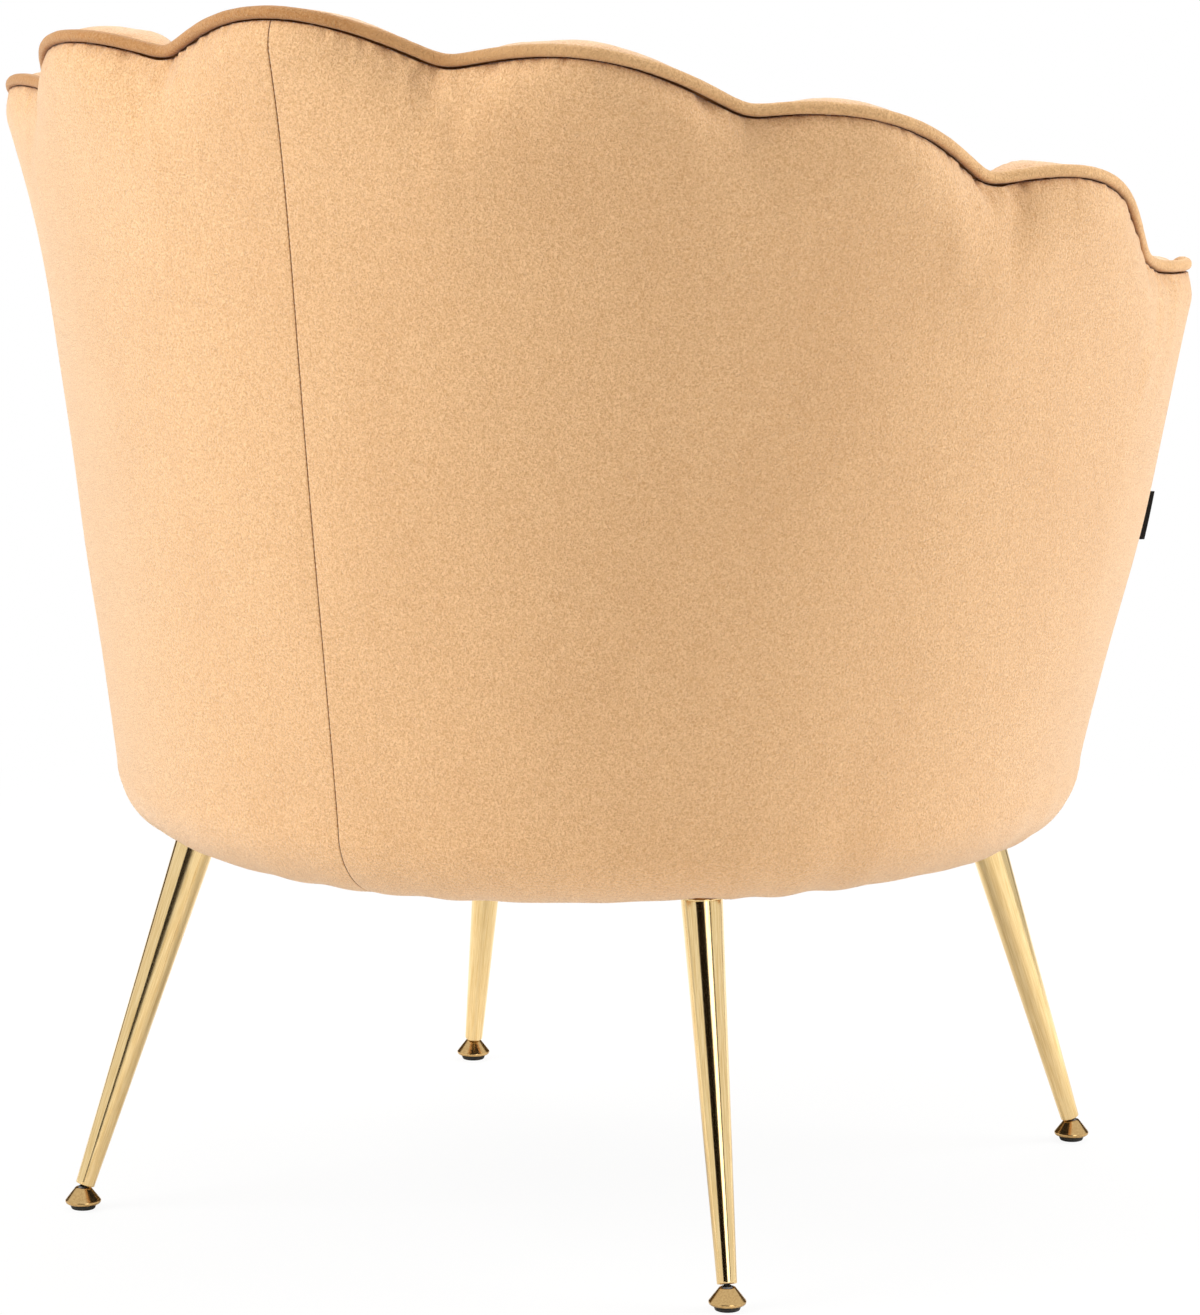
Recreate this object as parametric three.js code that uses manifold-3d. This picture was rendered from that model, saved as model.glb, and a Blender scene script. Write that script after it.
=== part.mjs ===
// Scallop back chair: an upholstered tub armchair with nine lobes on four tapered metal legs.
// Millimetres, +Z up. The chair faces -Y and the sitter's left is +X.
// The origin is on the floor, under the middle of the chair's box.

import * as THREE from 'three';
import { mergeVertices } from 'three/addons/utils/BufferGeometryUtils.js';
import Module from 'manifold-3d';

const wasm = await Module();
wasm.setup();

const { lerp, clamp, smoothstep, degToRad, radToDeg } = THREE.MathUtils;

// Clearances
const fitGap = 0.3; // between faces that touch
const skinGap = 0.6; // between bent sheets that lie on each other
const cutOverrunLength = 2; // how far a cutting tool runs past the face that it opens

// Heights, from the floor up
const overallHeight = 790;
const undersideHeight = 238;
const turnDepth = 48; // from the underside to the seam, where the side turns under
const deckDepth = 56; // from the seam to the top of the deck
const cushionHeight = 104; // from the deck to the top of the cushion's crown
const seamHeight = undersideHeight + turnDepth;
const deckHeight = seamHeight + deckDepth;
const seatHeight = deckHeight + cushionHeight;

// Plan of the outer cover, as circles at the seam and at the rim
const seamRadius = 318.5;
const seamForwardWidth = 12; // from the middle of the feet forward to the seam circle's middle
const rimRadius = 365.3;
const rimForwardWidth = 5; // the same for the rim circle
const seamCentreY = -seamForwardWidth;
const rimCentreY = -rimForwardWidth;
const armFlareWidth = 8; // extra rim radius towards the arm fronts
const backBellyWidth = 7; // how far the side stands proud of a straight line, at the back
const sideBellyWidth = 1.5; // the same between the back and the arms
const armBellyWidth = 12.6; // the same at the arms
const undercutWidth = 52; // how far the side turns in on its way under
const hemWidth = 22; // flat part of the cover under the base
const hemInnerRadius = seamRadius - undercutWidth - hemWidth;

// The scalloped rim. Angles are in degrees from the middle of the back.
const pipingRadius = 3.8;
const valleyAngles = [16, 45, 72, 100];
const sideAngle = 50; // where the side is straightest
const frontAngleAtRim = 124;
const frontAngleAtSeam = 113;
const valleyHeightShares = [0.945, 0.887, 0.796, 0.664, 0.655]; // of the middle lobe's rise
const lobeHeight = 27;
const lobeRiseShares = [1, 0.76, 0.57, 1.185, 0.1];
const lobeSkews = [1, 1, 1, 1.25, 1]; // above 1, a lobe's peak lies nearer the arm front
const lobeBulgeWidth = 19; // how far a lobe swells out at the rim
const bulgeDepth = 85; // depth below the rim over which the swelling dies out
const armBulgeDepth = 104; // the same at the arms
const dentDepth = 70; // depth below the rim at which the valleys have evened out
const evenBulgeShare = 0.9; // of the swelling, all the way round, below that
const cornerRadius = 40; // front upper corner of each arm

// The wall of the shell, from the outside in
const coverThickness = 5;
const shellBoardThickness = 4;
const postDepth = 20;
const postWidth = 32;
const lobeBoardThickness = 3;
const valleyFoamThickness = 8;
const seatFoamThickness = 43;
const rimFoamThickness = 27;

const shellBoardInset = coverThickness + skinGap;
const postInset = shellBoardInset + shellBoardThickness + skinGap;
const lobeBoardInset = postInset + postDepth + skinGap;
const foamInset = lobeBoardInset + lobeBoardThickness + skinGap;

// The base under the seat
const hemThickness = 8.7; // folded cover and wadding under the base
const ringOverHeight = 3; // from the seam up to the top of the ring
const ringWidth = 81;
const webThickness = 1.6;

const ringBottom = undersideHeight + hemThickness + fitGap;
const ringTop = seamHeight + ringOverHeight;
const ringOuterRadius = seamRadius - postInset;
const ringInnerRadius = ringOuterRadius - ringWidth;
const webTop = ringTop + 2 * (fitGap + webThickness);
const rimPeak = overallHeight - 2 * pipingRadius - fitGap;

const velvet = { color: 0xe6bb85, roughness: 0.9, metalness: 0 };
const pipingVelvet = { color: 0xd2a069, roughness: 0.9, metalness: 0 };
const plywood = { color: 0xc9a878, roughness: 0.7, metalness: 0 };
const timber = { color: 0xb98f5e, roughness: 0.7, metalness: 0 };
const fibreboard = { color: 0x8f6f4c, roughness: 0.85, metalness: 0 };
const webbing = { color: 0x3b3a38, roughness: 0.9, metalness: 0 };
const blackCloth = { color: 0x1b1b1c, roughness: 0.95, metalness: 0 };
const goldMetal = { color: 0xd9b36a, roughness: 0.22, metalness: 1 };
const bronzeMetal = { color: 0x8a6537, roughness: 0.3, metalness: 1 };
const zincSteel = { color: 0xb5b6b8, roughness: 0.4, metalness: 1 };
const rubber = { color: 0x1a1a1a, roughness: 0.85, metalness: 0 };

const chair = new THREE.Group();

function addMesh(name, geometry, finish) {
  const mesh = new THREE.Mesh(geometry, new THREE.MeshStandardMaterial(finish));
  mesh.name = name;
  chair.add(mesh);
  return mesh;
}

// Solids and sections

function signedVolume(positions, index) {
  const [a, b, c] = [new THREE.Vector3(), new THREE.Vector3(), new THREE.Vector3()];
  let volume = 0;
  for (let i = 0; i < index.length; i += 3) {
    a.copy(positions[index[i]]);
    b.copy(positions[index[i + 1]]);
    c.copy(positions[index[i + 2]]);
    volume += a.dot(b.cross(c)) / 6;
  }
  return volume;
}

function capSection(row, offset) {
  const normal = new THREE.Vector3();
  row.forEach((point, i) => {
    normal.add(new THREE.Vector3().crossVectors(point, row[(i + 1) % row.length]));
  });
  normal.normalize();
  const helper = Math.abs(normal.z) < 0.9 ? new THREE.Vector3(0, 0, 1) : new THREE.Vector3(1, 0, 0);
  const across = new THREE.Vector3().crossVectors(helper, normal).normalize();
  const along = new THREE.Vector3().crossVectors(normal, across);
  const flat = row.map((point) => new THREE.Vector2(point.dot(across), point.dot(along)));
  return THREE.ShapeUtils.triangulateShape(flat, []).map((face) => face.map((i) => i + offset));
}

// The end of a bent sheet, whose section runs up one face and back down the other
function capSheet(row, offset) {
  const last = row.length - 1;
  return row.slice(0, row.length / 2 - 1).flatMap((_, i) => [
    [offset + i, offset + i + 1, offset + last - i - 1],
    [offset + i, offset + last - i - 1, offset + last - i],
  ]);
}

// Skins a row of closed sections that all have the same number of points
function loft(rows, { closed = false, cap = capSection } = {}) {
  const count = rows[0].length;
  const positions = rows.flat();
  const index = [];
  const steps = closed ? rows.length : rows.length - 1;
  for (let i = 0; i < steps; i += 1) {
    const next = (i + 1) % rows.length;
    for (let j = 0; j < count; j += 1) {
      const k = (j + 1) % count;
      const [a, b, c, d] = [i * count + j, i * count + k, next * count + k, next * count + j];
      index.push(a, b, c, a, c, d);
    }
  }
  if (!closed) {
    const last = (rows.length - 1) * count;
    cap(rows[0], 0).forEach(([a, b, c]) => index.push(c, b, a));
    cap(rows[rows.length - 1], last).forEach(([a, b, c]) => index.push(a, b, c));
  }
  if (signedVolume(positions, index) < 0) {
    index.reverse();
  }
  const geometry = new THREE.BufferGeometry().setFromPoints(positions);
  geometry.setIndex(index);
  geometry.computeVertexNormals();
  return geometry;
}

function toSolid(geometry) {
  const bare = geometry.clone();
  bare.deleteAttribute('normal');
  bare.deleteAttribute('uv');
  const merged = mergeVertices(bare, 1e-4);
  return new wasm.Manifold(new wasm.Mesh({
    numProp: 3,
    vertProperties: new Float32Array(merged.attributes.position.array),
    triVerts: new Uint32Array(merged.index.array),
  }));
}

function toGeometry(solid) {
  const mesh = solid.getMesh();
  const geometry = new THREE.BufferGeometry();
  geometry.setAttribute('position', new THREE.BufferAttribute(new Float32Array(mesh.vertProperties), 3));
  geometry.setIndex(new THREE.BufferAttribute(new Uint32Array(mesh.triVerts), 1));
  geometry.computeVertexNormals();
  return geometry;
}

function cut(geometry, tools) {
  let solid = toSolid(geometry);
  for (const tool of tools) {
    solid = solid.subtract(toSolid(tool));
  }
  return toGeometry(solid);
}

function join(first, second) {
  return toGeometry(toSolid(first).add(toSolid(second)));
}

function revolve(profile, segments) {
  const points = profile.map(([radius, height]) => new THREE.Vector2(radius, height));
  return new THREE.LatheGeometry(points, segments).rotateX(Math.PI / 2);
}

// The shell's surface

const frontHeight = seamHeight + (rimPeak - seamHeight) * valleyHeightShares[valleyAngles.length];

function frontAngle(z) {
  const share = clamp((z - seamHeight) / (frontHeight - seamHeight), 0, 1);
  return lerp(frontAngleAtSeam, frontAngleAtRim, share);
}

// The lobe that holds an angle along the rim, and how far across it the angle lies
function lobeAt(angle) {
  const a = Math.abs(angle);
  const edges = [...valleyAngles, frontAngleAtRim];
  const lobe = Math.min(edges.findIndex((edge) => a <= edge + 1e-9), edges.length - 1);
  if (lobe === 0) {
    return { lobe, t: (a + edges[0]) / (2 * edges[0]) };
  }
  const past = lobe < 0 ? edges.length - 1 : lobe;
  return { lobe: past, t: clamp((a - edges[past - 1]) / (edges[past] - edges[past - 1]), 0, 1) };
}

// Height of the rim without its lobes
function rimBase(angle) {
  const { lobe, t } = lobeAt(angle);
  const share = lobe === 0
    ? valleyHeightShares[0]
    : lerp(valleyHeightShares[lobe - 1], valleyHeightShares[lobe], t);
  return lerp(seamHeight, rimPeak, share);
}

const degreesPerLength = radToDeg(1 / rimRadius);
const cornerStart = frontAngleAtRim - cornerRadius * degreesPerLength;

function cornerDrop(angle) {
  const across = clamp((Math.abs(angle) - cornerStart) / (frontAngleAtRim - cornerStart), 0, 1);
  return cornerRadius * (1 - Math.sqrt(1 - across * across));
}

function rimHeight(angle) {
  const { lobe, t } = lobeAt(angle);
  const rise = lobeHeight * lobeRiseShares[lobe] * Math.sin(Math.PI * t ** lobeSkews[lobe]);
  return rimBase(angle) + rise - cornerDrop(angle);
}

// A place on the shell has u from -1 to 1 between the arm fronts, and from 1 to 3 round the front
function angleAt(u, z) {
  const front = frontAngle(z);
  return Math.abs(u) <= 1 ? u * front : Math.sign(u) * (front + (Math.abs(u) - 1) * (180 - front));
}

function rimAngle(u) {
  return clamp(Math.abs(u), 0, 1) * frontAngleAtRim;
}

function sideTop(u) {
  return (Math.abs(u) > 1 ? frontHeight : rimBase(rimAngle(u))) + lobeHeight;
}

function sideShare(u, z) {
  return clamp((z - seamHeight) / (sideTop(u) - seamHeight), 0, 1);
}

// Height shares at which the side bends; every layer bends there, so that the layers nest
const frameShares = [0.18, 0.42, 0.68];
const coverShares = [...frameShares, 0.87, 1];

function bellyShare(share) {
  return Math.sin(Math.PI * share ** 1.3);
}

// How far a place is into the arms, from 0 at the back to 1 at the arm fronts and below the seat
function armShare(u) {
  return Math.abs(u) > 1 ? 1 : smoothstep(rimAngle(u), 60, frontAngleAtSeam);
}

function smoothRadius(u, z) {
  const share = sideShare(u, z);
  const arm = armShare(u);
  const above = coverShares.findIndex((stop) => share <= stop);
  const [low, high] = [above === 0 ? 0 : coverShares[above - 1], coverShares[above]];
  const bend = lerp(bellyShare(low), bellyShare(high), (share - low) / (high - low));
  const straight = lerp(seamRadius, rimRadius + armFlareWidth * arm, share);
  const belly = lerp(backBellyWidth, sideBellyWidth, smoothstep(rimAngle(u), 15, sideAngle));
  return straight + lerp(belly, armBellyWidth, arm) * bend;
}

// The valleys are dents at the rim; the last lobe rounds off towards the arm front at any height
function bulgeAt(u, z) {
  if (Math.abs(u) >= 1) {
    return 0;
  }
  const angle = rimAngle(u);
  const depth = Math.max(rimHeight(angle) - z, 0);
  const { lobe, t } = lobeAt(angle);
  const rounding = lobe === valleyAngles.length && t > 0.5;
  const end = rounding ? Math.sqrt(1 - (2 * t - 1) ** 2) : 1;
  const dented = rounding ? end : Math.sin(Math.PI * t) ** 1.6;
  const across = lerp(dented, evenBulgeShare * end, smoothstep(depth, 0, dentDepth));
  return lobeBulgeWidth * across * Math.exp(-((depth / lerp(bulgeDepth, armBulgeDepth, armShare(u))) ** 1.3));
}

function polarPoint(angle, radius, z, centreY) {
  const turn = degToRad(angle);
  return new THREE.Vector3(radius * Math.sin(turn), centreY + radius * Math.cos(turn), z);
}

function centreAt(u, z) {
  return lerp(seamCentreY, rimCentreY, sideShare(u, z));
}

// A point inset from the smooth shell; a negative inset lies outside it
function shellPoint(u, z, inset) {
  return polarPoint(angleAt(u, z), smoothRadius(u, z) - inset, z, centreAt(u, z));
}

function outerPoint(u, z) {
  return shellPoint(u, z, -bulgeAt(u, z));
}

// The quarter ellipse that turns the cover under, from the seam (turn 0) to the hem (turn 1)
function undercutPoint(u, turn, inset, bottom) {
  const phase = (turn * Math.PI) / 2;
  const radius = seamRadius - inset - undercutWidth * (1 - Math.cos(phase));
  const z = lerp(seamHeight, bottom, Math.sin(phase));
  return polarPoint(angleAt(u, seamHeight), radius, z, seamCentreY);
}

function hemPoint(u, z) {
  return polarPoint(angleAt(u, seamHeight), hemInnerRadius, z, seamCentreY);
}

const acrossShares = [0, 0.1, 0.3, 0.5, 0.7, 0.9, 1];
const stationStep = 1; // least angle between two stations, in degrees
const cornerTurns = [0, 30, 60, 90];

const cornerAngles = cornerTurns.map((turn) => lerp(cornerStart, frontAngleAtRim, Math.sin(degToRad(turn))));

// Rim angles of one side: each lobe's stations, then the rounded front corner's
function sideStations() {
  const angles = acrossShares.filter((t) => t >= 0.5).map((t) => lerp(-valleyAngles[0], valleyAngles[0], t));
  const edges = [...valleyAngles, frontAngleAtRim];
  for (let lobe = 1; lobe < edges.length; lobe += 1) {
    for (const t of acrossShares.slice(1)) {
      angles.push(lerp(edges[lobe - 1], edges[lobe], t));
    }
  }
  const before = angles.filter((angle) => angle < cornerStart - stationStep);
  return [...before, ...cornerAngles];
}

const halfStations = sideStations().map((angle) => angle / frontAngleAtRim);

function stationsBetween(from, to) {
  const mirrored = [...halfStations.slice(1).map((u) => -u).reverse(), ...halfStations];
  const inside = mirrored.filter((u) => u > from + 1e-3 && u < to - 1e-3);
  return [from, ...inside, to];
}

const underTurns = [1, 0.67, 0.33, 0];
const levelGap = 1; // least distance between two levels of a section

// Heights of a section from low to high, with the bends of the side that lie between them
function ladder(u, low, high, shares) {
  const bends = shares.map((share, i) => clamp(
    lerp(seamHeight, sideTop(u), share),
    low + (i + 1) * levelGap,
    high - (shares.length - i) * levelGap,
  ));
  return [low, ...bends, high];
}

// Legs: tapered tubes with a plate at the top, and a glide that screws into the lower end

const footSideWidth = 240;
const footEndWidth = 244.5;
const legTopSideWidth = 187;
const rearLegTopWidth = 183.5;
const frontLegTopWidth = 192.5;
const plateThickness = 3;
const plateLength = 58;
const plateWidth = 56;
const plateCornerRadius = 9;
const dustCoverThickness = 1.4;
const plateTop = ringBottom - fitGap - dustCoverThickness - fitGap;
const legTopRadius = 12.5;
const legEndRadius = 6.2;
const legEndHeight = 17.5;
const legSegments = 14;
const studRadius = 3;
const studLength = 20; // length of stud inside the leg when screwed fully in
const boreRadius = studRadius + fitGap;
const screwRadius = 2;
const screwHeadRadius = 4;
const screwHeadHeight = 2;
const screwHeadEdgeHeight = 0.4; // straight edge of the head
const screwLength = 20;
const screwSegments = 8;
const screwInwardLength = 24; // from the leg's axis towards the middle
const screwSpreadWidth = 18; // to each side of that line

const ballRadius = 4.2;
const ballHeight = 12;
const neckRadius = 1.5;
const coneTopHeight = 14.5;
const coneNeckRadius = 4.6;
const coneRadius = 11.25;
const coneBrowHeight = 6.4; // height of the cone's widest place
const padThickness = 3.5;
const padRadius = 8.25;
const padBossRadius = 3;
const padBossHeight = 1.5;
const glideSegments = 10;

const legs = [
  { name: 'front_left', side: 1, end: -1, topY: frontLegTopWidth },
  { name: 'front_right', side: -1, end: -1, topY: frontLegTopWidth },
  { name: 'rear_left', side: 1, end: 1, topY: rearLegTopWidth },
  { name: 'rear_right', side: -1, end: 1, topY: rearLegTopWidth },
].map(({ name, side, end, topY }) => {
  const ball = new THREE.Vector3(side * footSideWidth, end * footEndWidth, ballHeight);
  const top = new THREE.Vector3(side * legTopSideWidth, end * topY, plateTop);
  const axis = top.clone().sub(ball).normalize();
  const inward = new THREE.Vector2(-top.x, seamCentreY - top.y).normalize();
  return { name, ball, top, axis, inward };
});

function alongAxis(geometry, axis, from) {
  const turn = new THREE.Quaternion().setFromUnitVectors(new THREE.Vector3(0, 0, 1), axis);
  return geometry.applyQuaternion(turn).translate(from.x, from.y, from.z);
}

// A solid of revolution about the leg's axis, with heights measured from the ball
function onLegAxis(leg, profile, segments) {
  return alongAxis(revolve(profile, segments), leg.axis, leg.ball);
}

function axisLength(leg, z) {
  return (z - ballHeight) / leg.axis.z;
}

function legTube(leg, grow) {
  const end = axisLength(leg, legEndHeight);
  const top = axisLength(leg, plateTop);
  const slope = (legTopRadius - legEndRadius) / (top - end);
  const past = legTopRadius; // the slanted tube has to reach past the plate before it is trimmed
  const tube = onLegAxis(leg, [
    [0, end], [legEndRadius + grow, end],
    [legTopRadius + slope * past + grow, top + past], [0, top + past],
  ], legSegments);
  const trim = new THREE.BoxGeometry(4 * legTopRadius, 4 * legTopRadius, 4 * legTopRadius);
  trim.translate(leg.top.x, leg.top.y, plateTop + grow + 2 * legTopRadius);
  return cut(tube, [trim]);
}

function legPlate(leg, bottom, thickness, grow) {
  const [x0, x1, y, corner] = [-grow, plateLength + grow, plateWidth / 2 + grow, plateCornerRadius];
  const shape = new THREE.Shape();
  shape.moveTo(x0 + corner, -y);
  shape.lineTo(x1 - corner, -y);
  shape.absarc(x1 - corner, -y + corner, corner, -Math.PI / 2, 0, false);
  shape.absarc(x1 - corner, y - corner, corner, 0, Math.PI / 2, false);
  shape.absarc(x0 + corner, y - corner, corner, Math.PI / 2, Math.PI, false);
  shape.absarc(x0 + corner, -y + corner, corner, Math.PI, 1.5 * Math.PI, false);
  const plate = new THREE.ExtrudeGeometry(shape, { depth: thickness, bevelEnabled: false, curveSegments: 2 });
  plate.rotateZ(Math.atan2(leg.inward.y, leg.inward.x));
  return plate.translate(leg.top.x, leg.top.y, bottom);
}

function screwPlaces(leg) {
  const across = new THREE.Vector2(-leg.inward.y, leg.inward.x);
  return [-1, 1].map((side) => new THREE.Vector2(leg.top.x, leg.top.y)
    .addScaledVector(leg.inward, screwInwardLength)
    .addScaledVector(across, side * screwSpreadWidth));
}

// Countersunk screw, head down, flush with the underside of the plate
function screwBody(place, grow, overrun) {
  const bottom = plateTop - plateThickness;
  const body = revolve([
    [0, bottom - overrun], [screwHeadRadius + grow, bottom - overrun],
    [screwHeadRadius + grow, bottom + screwHeadEdgeHeight], [screwRadius + grow, bottom + screwHeadHeight],
    [screwRadius + grow, bottom + screwLength - screwRadius], [0, bottom + screwLength + grow],
  ], screwSegments);
  return body.translate(place.x, place.y, 0);
}

function screwHolesOf(leg) {
  return screwPlaces(leg).map((place) => screwBody(place, fitGap, cutOverrunLength));
}

const screwHoles = legs.flatMap(screwHolesOf);

for (const leg of legs) {
  const bottom = plateTop - plateThickness;
  const body = join(legTube(leg, 0), legPlate(leg, bottom, plateThickness, 0));
  const boreStart = axisLength(leg, legEndHeight) - cutOverrunLength;
  const boreEnd = axisLength(leg, legEndHeight) + studLength + cutOverrunLength;
  const bore = onLegAxis(leg, [
    [0, boreStart], [boreRadius, boreStart], [boreRadius, boreEnd], [0, boreEnd],
  ], glideSegments);
  addMesh(`leg_${leg.name}`, cut(body, [bore, ...screwHolesOf(leg)]), goldMetal);
}

legs.forEach((leg) => screwPlaces(leg).forEach((place, i) => {
  addMesh(`plate_screw_${leg.name}_${i + 1}`, screwBody(place, 0, 0), zincSteel);
}));

function arc(centreZ, radius, from, to, steps) {
  return Array.from({ length: steps + 1 }, (_, i) => {
    const turn = degToRad(lerp(from, to, i / steps));
    return [radius * Math.cos(turn), centreZ + radius * Math.sin(turn)];
  });
}

const socketRadius = ballRadius + fitGap;
const socketLip = radToDeg(Math.asin((coneTopHeight - ballHeight) / socketRadius));
const neckTurn = radToDeg(Math.acos(neckRadius / ballRadius));

for (const leg of legs) {
  const shoulder = axisLength(leg, legEndHeight) - fitGap;
  const stud = [
    [0, -ballRadius], ...arc(0, ballRadius, -50, neckTurn, 3),
    [neckRadius, shoulder - studRadius / 2], [studRadius, shoulder],
    [studRadius, shoulder + studLength], [0, shoulder + studLength],
  ];
  addMesh(`glide_stud_${leg.name}`, onLegAxis(leg, stud, glideSegments), zincSteel);

  const coneBottom = padThickness + fitGap;
  const recess = padThickness + padBossHeight + fitGap;
  const cone = revolve([
    [0, recess], [padBossRadius + fitGap, recess], [padBossRadius + fitGap, coneBottom],
    [padRadius, coneBottom], [coneRadius - padBossHeight / 2, lerp(coneBottom, coneBrowHeight, 0.3)],
    [coneRadius, coneBrowHeight],
    [lerp(coneRadius, coneNeckRadius, 0.5), lerp(coneBrowHeight, coneTopHeight, 0.55)],
    [coneNeckRadius, coneTopHeight],
    ...arc(ballHeight, socketRadius, socketLip, -50, 3), [0, ballHeight - socketRadius],
  ], glideSegments);
  addMesh(`glide_cone_${leg.name}`, cone.translate(leg.ball.x, leg.ball.y, 0), bronzeMetal);

  const pad = revolve([
    [0, 0], [padRadius - padBossHeight / 2, 0], [padRadius, padBossHeight / 2], [padRadius, padThickness],
    [padBossRadius, padThickness], [padBossRadius, padThickness + padBossHeight],
    [0, padThickness + padBossHeight],
  ], glideSegments);
  addMesh(`glide_pad_${leg.name}`, pad.translate(leg.ball.x, leg.ball.y, 0), rubber);
}

// What the cover has to leave free round one leg
function legPocket(leg) {
  const bottom = undersideHeight - cutOverrunLength;
  const plate = legPlate(leg, bottom, plateTop + fitGap - bottom, skinGap);
  return [plate, legTube(leg, skinGap), ...screwHolesOf(leg)];
}

// Base ring of laminated board, turned under like the cover

const ringSegments = 36;
const ringTurnWidth = ringOuterRadius - (seamRadius - coverThickness - undercutWidth);
const ringProfile = [
  [ringInnerRadius, ringBottom],
  ...underTurns.map((turn) => {
    const phase = (turn * Math.PI) / 2;
    const radius = ringOuterRadius - ringTurnWidth * (1 - Math.cos(phase));
    return [radius, lerp(seamHeight - fitGap, ringBottom, Math.sin(phase))];
  }),
  [ringOuterRadius, ringTop], [ringInnerRadius, ringTop], [ringInnerRadius, ringBottom],
];
const ring = revolve(ringProfile, ringSegments).translate(0, seamCentreY, 0);
addMesh('base_ring', cut(ring, screwHoles), plywood);

const dustCoverBottom = ringBottom - fitGap - dustCoverThickness;
const dustCoverRadius = hemInnerRadius - 2 * skinGap;
const dustCover = revolve([
  [0, dustCoverBottom], [dustCoverRadius, dustCoverBottom],
  [dustCoverRadius, dustCoverBottom + dustCoverThickness], [0, dustCoverBottom + dustCoverThickness],
], ringSegments).translate(0, seamCentreY, 0);
addMesh('dust_cover', cut(dustCover, screwHoles), blackCloth);

// Woven seat webbing, stapled on the ring

const webWidth = 56;
const webSpacingWidth = 150;
const webHoldWidth = 46; // of a strap on the ring, at its corners
const webRampLength = 18; // length over which a strap passes from under to over

function strapPath(levels) {
  const reach = ringInnerRadius + webHoldWidth;
  const end = Math.sqrt(reach ** 2 - ((webSpacingWidth + webWidth) / 2) ** 2);
  const hold = webWidth / 2 + webRampLength / 4;
  const stops = [[-end, 0]];
  levels.forEach((level, i) => {
    const middle = (i - (levels.length - 1) / 2) * webSpacingWidth;
    stops.push([middle - hold - webRampLength, 0], [middle - hold, level]);
    stops.push([middle + hold, level], [middle + hold + webRampLength, 0]);
  });
  return [...stops, [end, 0]];
}

function strap(levels) {
  const path = strapPath(levels);
  const lower = ringTop + fitGap;
  const lift = webThickness + fitGap;
  const shape = new THREE.Shape([
    ...path.map(([x, level]) => new THREE.Vector2(x, lower + level * lift)),
    ...path.reverse().map(([x, level]) => new THREE.Vector2(x, lower + level * lift + webThickness)),
  ]);
  const body = new THREE.ExtrudeGeometry(shape, { depth: webWidth, bevelEnabled: false });
  return body.translate(0, 0, -webWidth / 2).rotateX(Math.PI / 2);
}

[0, 1].forEach((i) => {
  const offset = (i - 0.5) * webSpacingWidth;
  const levels = i === 0 ? [0, 1] : [1, 0];
  const others = i === 0 ? [1, 0] : [0, 1];
  addMesh(`web_cross_${i + 1}`, strap(levels).translate(0, seamCentreY + offset, 0), webbing);
  addMesh(`web_long_${i + 1}`, strap(others).rotateZ(Math.PI / 2).translate(offset, seamCentreY, 0), webbing);
});

// Frame of the shell: posts on the ring, a bent rail on the posts, and a board on each side

const railHeight = 32;
const railDepth = 44; // from the rim's base line to the top of the rail
const frameEnd = cornerAngles[0] / frontAngleAtRim; // the frame stops where the rounded corner starts
const shellBoardEnd = cornerAngles[1] / frontAngleAtRim;
const shellBoardDepth = 14; // from the rim to the top of the outer board

function railTop(u) {
  return rimBase(rimAngle(u)) - railDepth;
}

function degreesAt(length, u, z) {
  return radToDeg(length / smoothRadius(u, z));
}

function post(u) {
  const edges = [-1, 1].map((side) => {
    const beside = (z) => u + (side * degreesAt(postWidth / 2, u, z)) / frontAngle(z);
    const high = railTop(beside(railTop(u))) - railHeight - fitGap;
    return ladder(beside(high), ringTop + fitGap, high, frameShares).map((z) => [beside(z), z]);
  });
  return loft(edges[0].map(([u0, z0], i) => {
    const [u1, z1] = edges[1][i];
    const inner = postInset + postDepth - fitGap; // a little short, as a post is flatter than the boards
    return [
      shellPoint(u0, z0, postInset), shellPoint(u1, z1, postInset),
      shellPoint(u1, z1, inner), shellPoint(u0, z0, inner),
    ];
  }));
}

const armPostShare = 0.884; // of the way from the middle of the back to the arm front
const postShares = [...valleyAngles.slice(0, -1).map((angle) => angle / frontAngleAtRim), armPostShare];
postShares.forEach((u, i) => {
  addMesh(`back_post_left_${i + 1}`, post(u), timber);
  addMesh(`back_post_right_${i + 1}`, post(-u), timber);
});

function band(from, to, levelsAt, inset, thickness) {
  return loft(stationsBetween(from, to).map((u) => {
    const levels = levelsAt(u);
    return [
      ...levels.map((z) => shellPoint(u, z, inset)),
      ...levels.toReversed().map((z) => shellPoint(u, z, inset + thickness)),
    ];
  }), { cap: capSheet });
}

addMesh('upper_rail', band(-frameEnd, frameEnd, (u) => [railTop(u) - railHeight, railTop(u)],
  postInset, postDepth), timber);

addMesh('shell_board', band(-shellBoardEnd, shellBoardEnd, (u) => (
  ladder(u, seamHeight, rimHeight(rimAngle(u)) - shellBoardDepth, coverShares)
), shellBoardInset, shellBoardThickness), fibreboard);

addMesh('lobe_board', band(-frameEnd, frameEnd, (u) => (
  ladder(u, ringTop + fitGap, railTop(u), frameShares)
), lobeBoardInset, lobeBoardThickness), fibreboard);

const frontRailTop = deckHeight - coverThickness - skinGap;
const frontRailEnd = 0.04; // in u, from the arm front to the end of the rail
const frontStations = 16;

function frontRange(end) {
  return Array.from({ length: frontStations + 1 }, (_, i) => lerp(1 + end, 3 - end, i / frontStations));
}

addMesh('front_rail', loft(frontRange(frontRailEnd).map((u) => [
  shellPoint(u, ringTop + fitGap, postInset), shellPoint(u, frontRailTop, postInset),
  shellPoint(u, frontRailTop, postInset + postDepth), shellPoint(u, ringTop + fitGap, postInset + postDepth),
])), timber);

// Outer cover in two panels, sewn at the middle of the back

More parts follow.
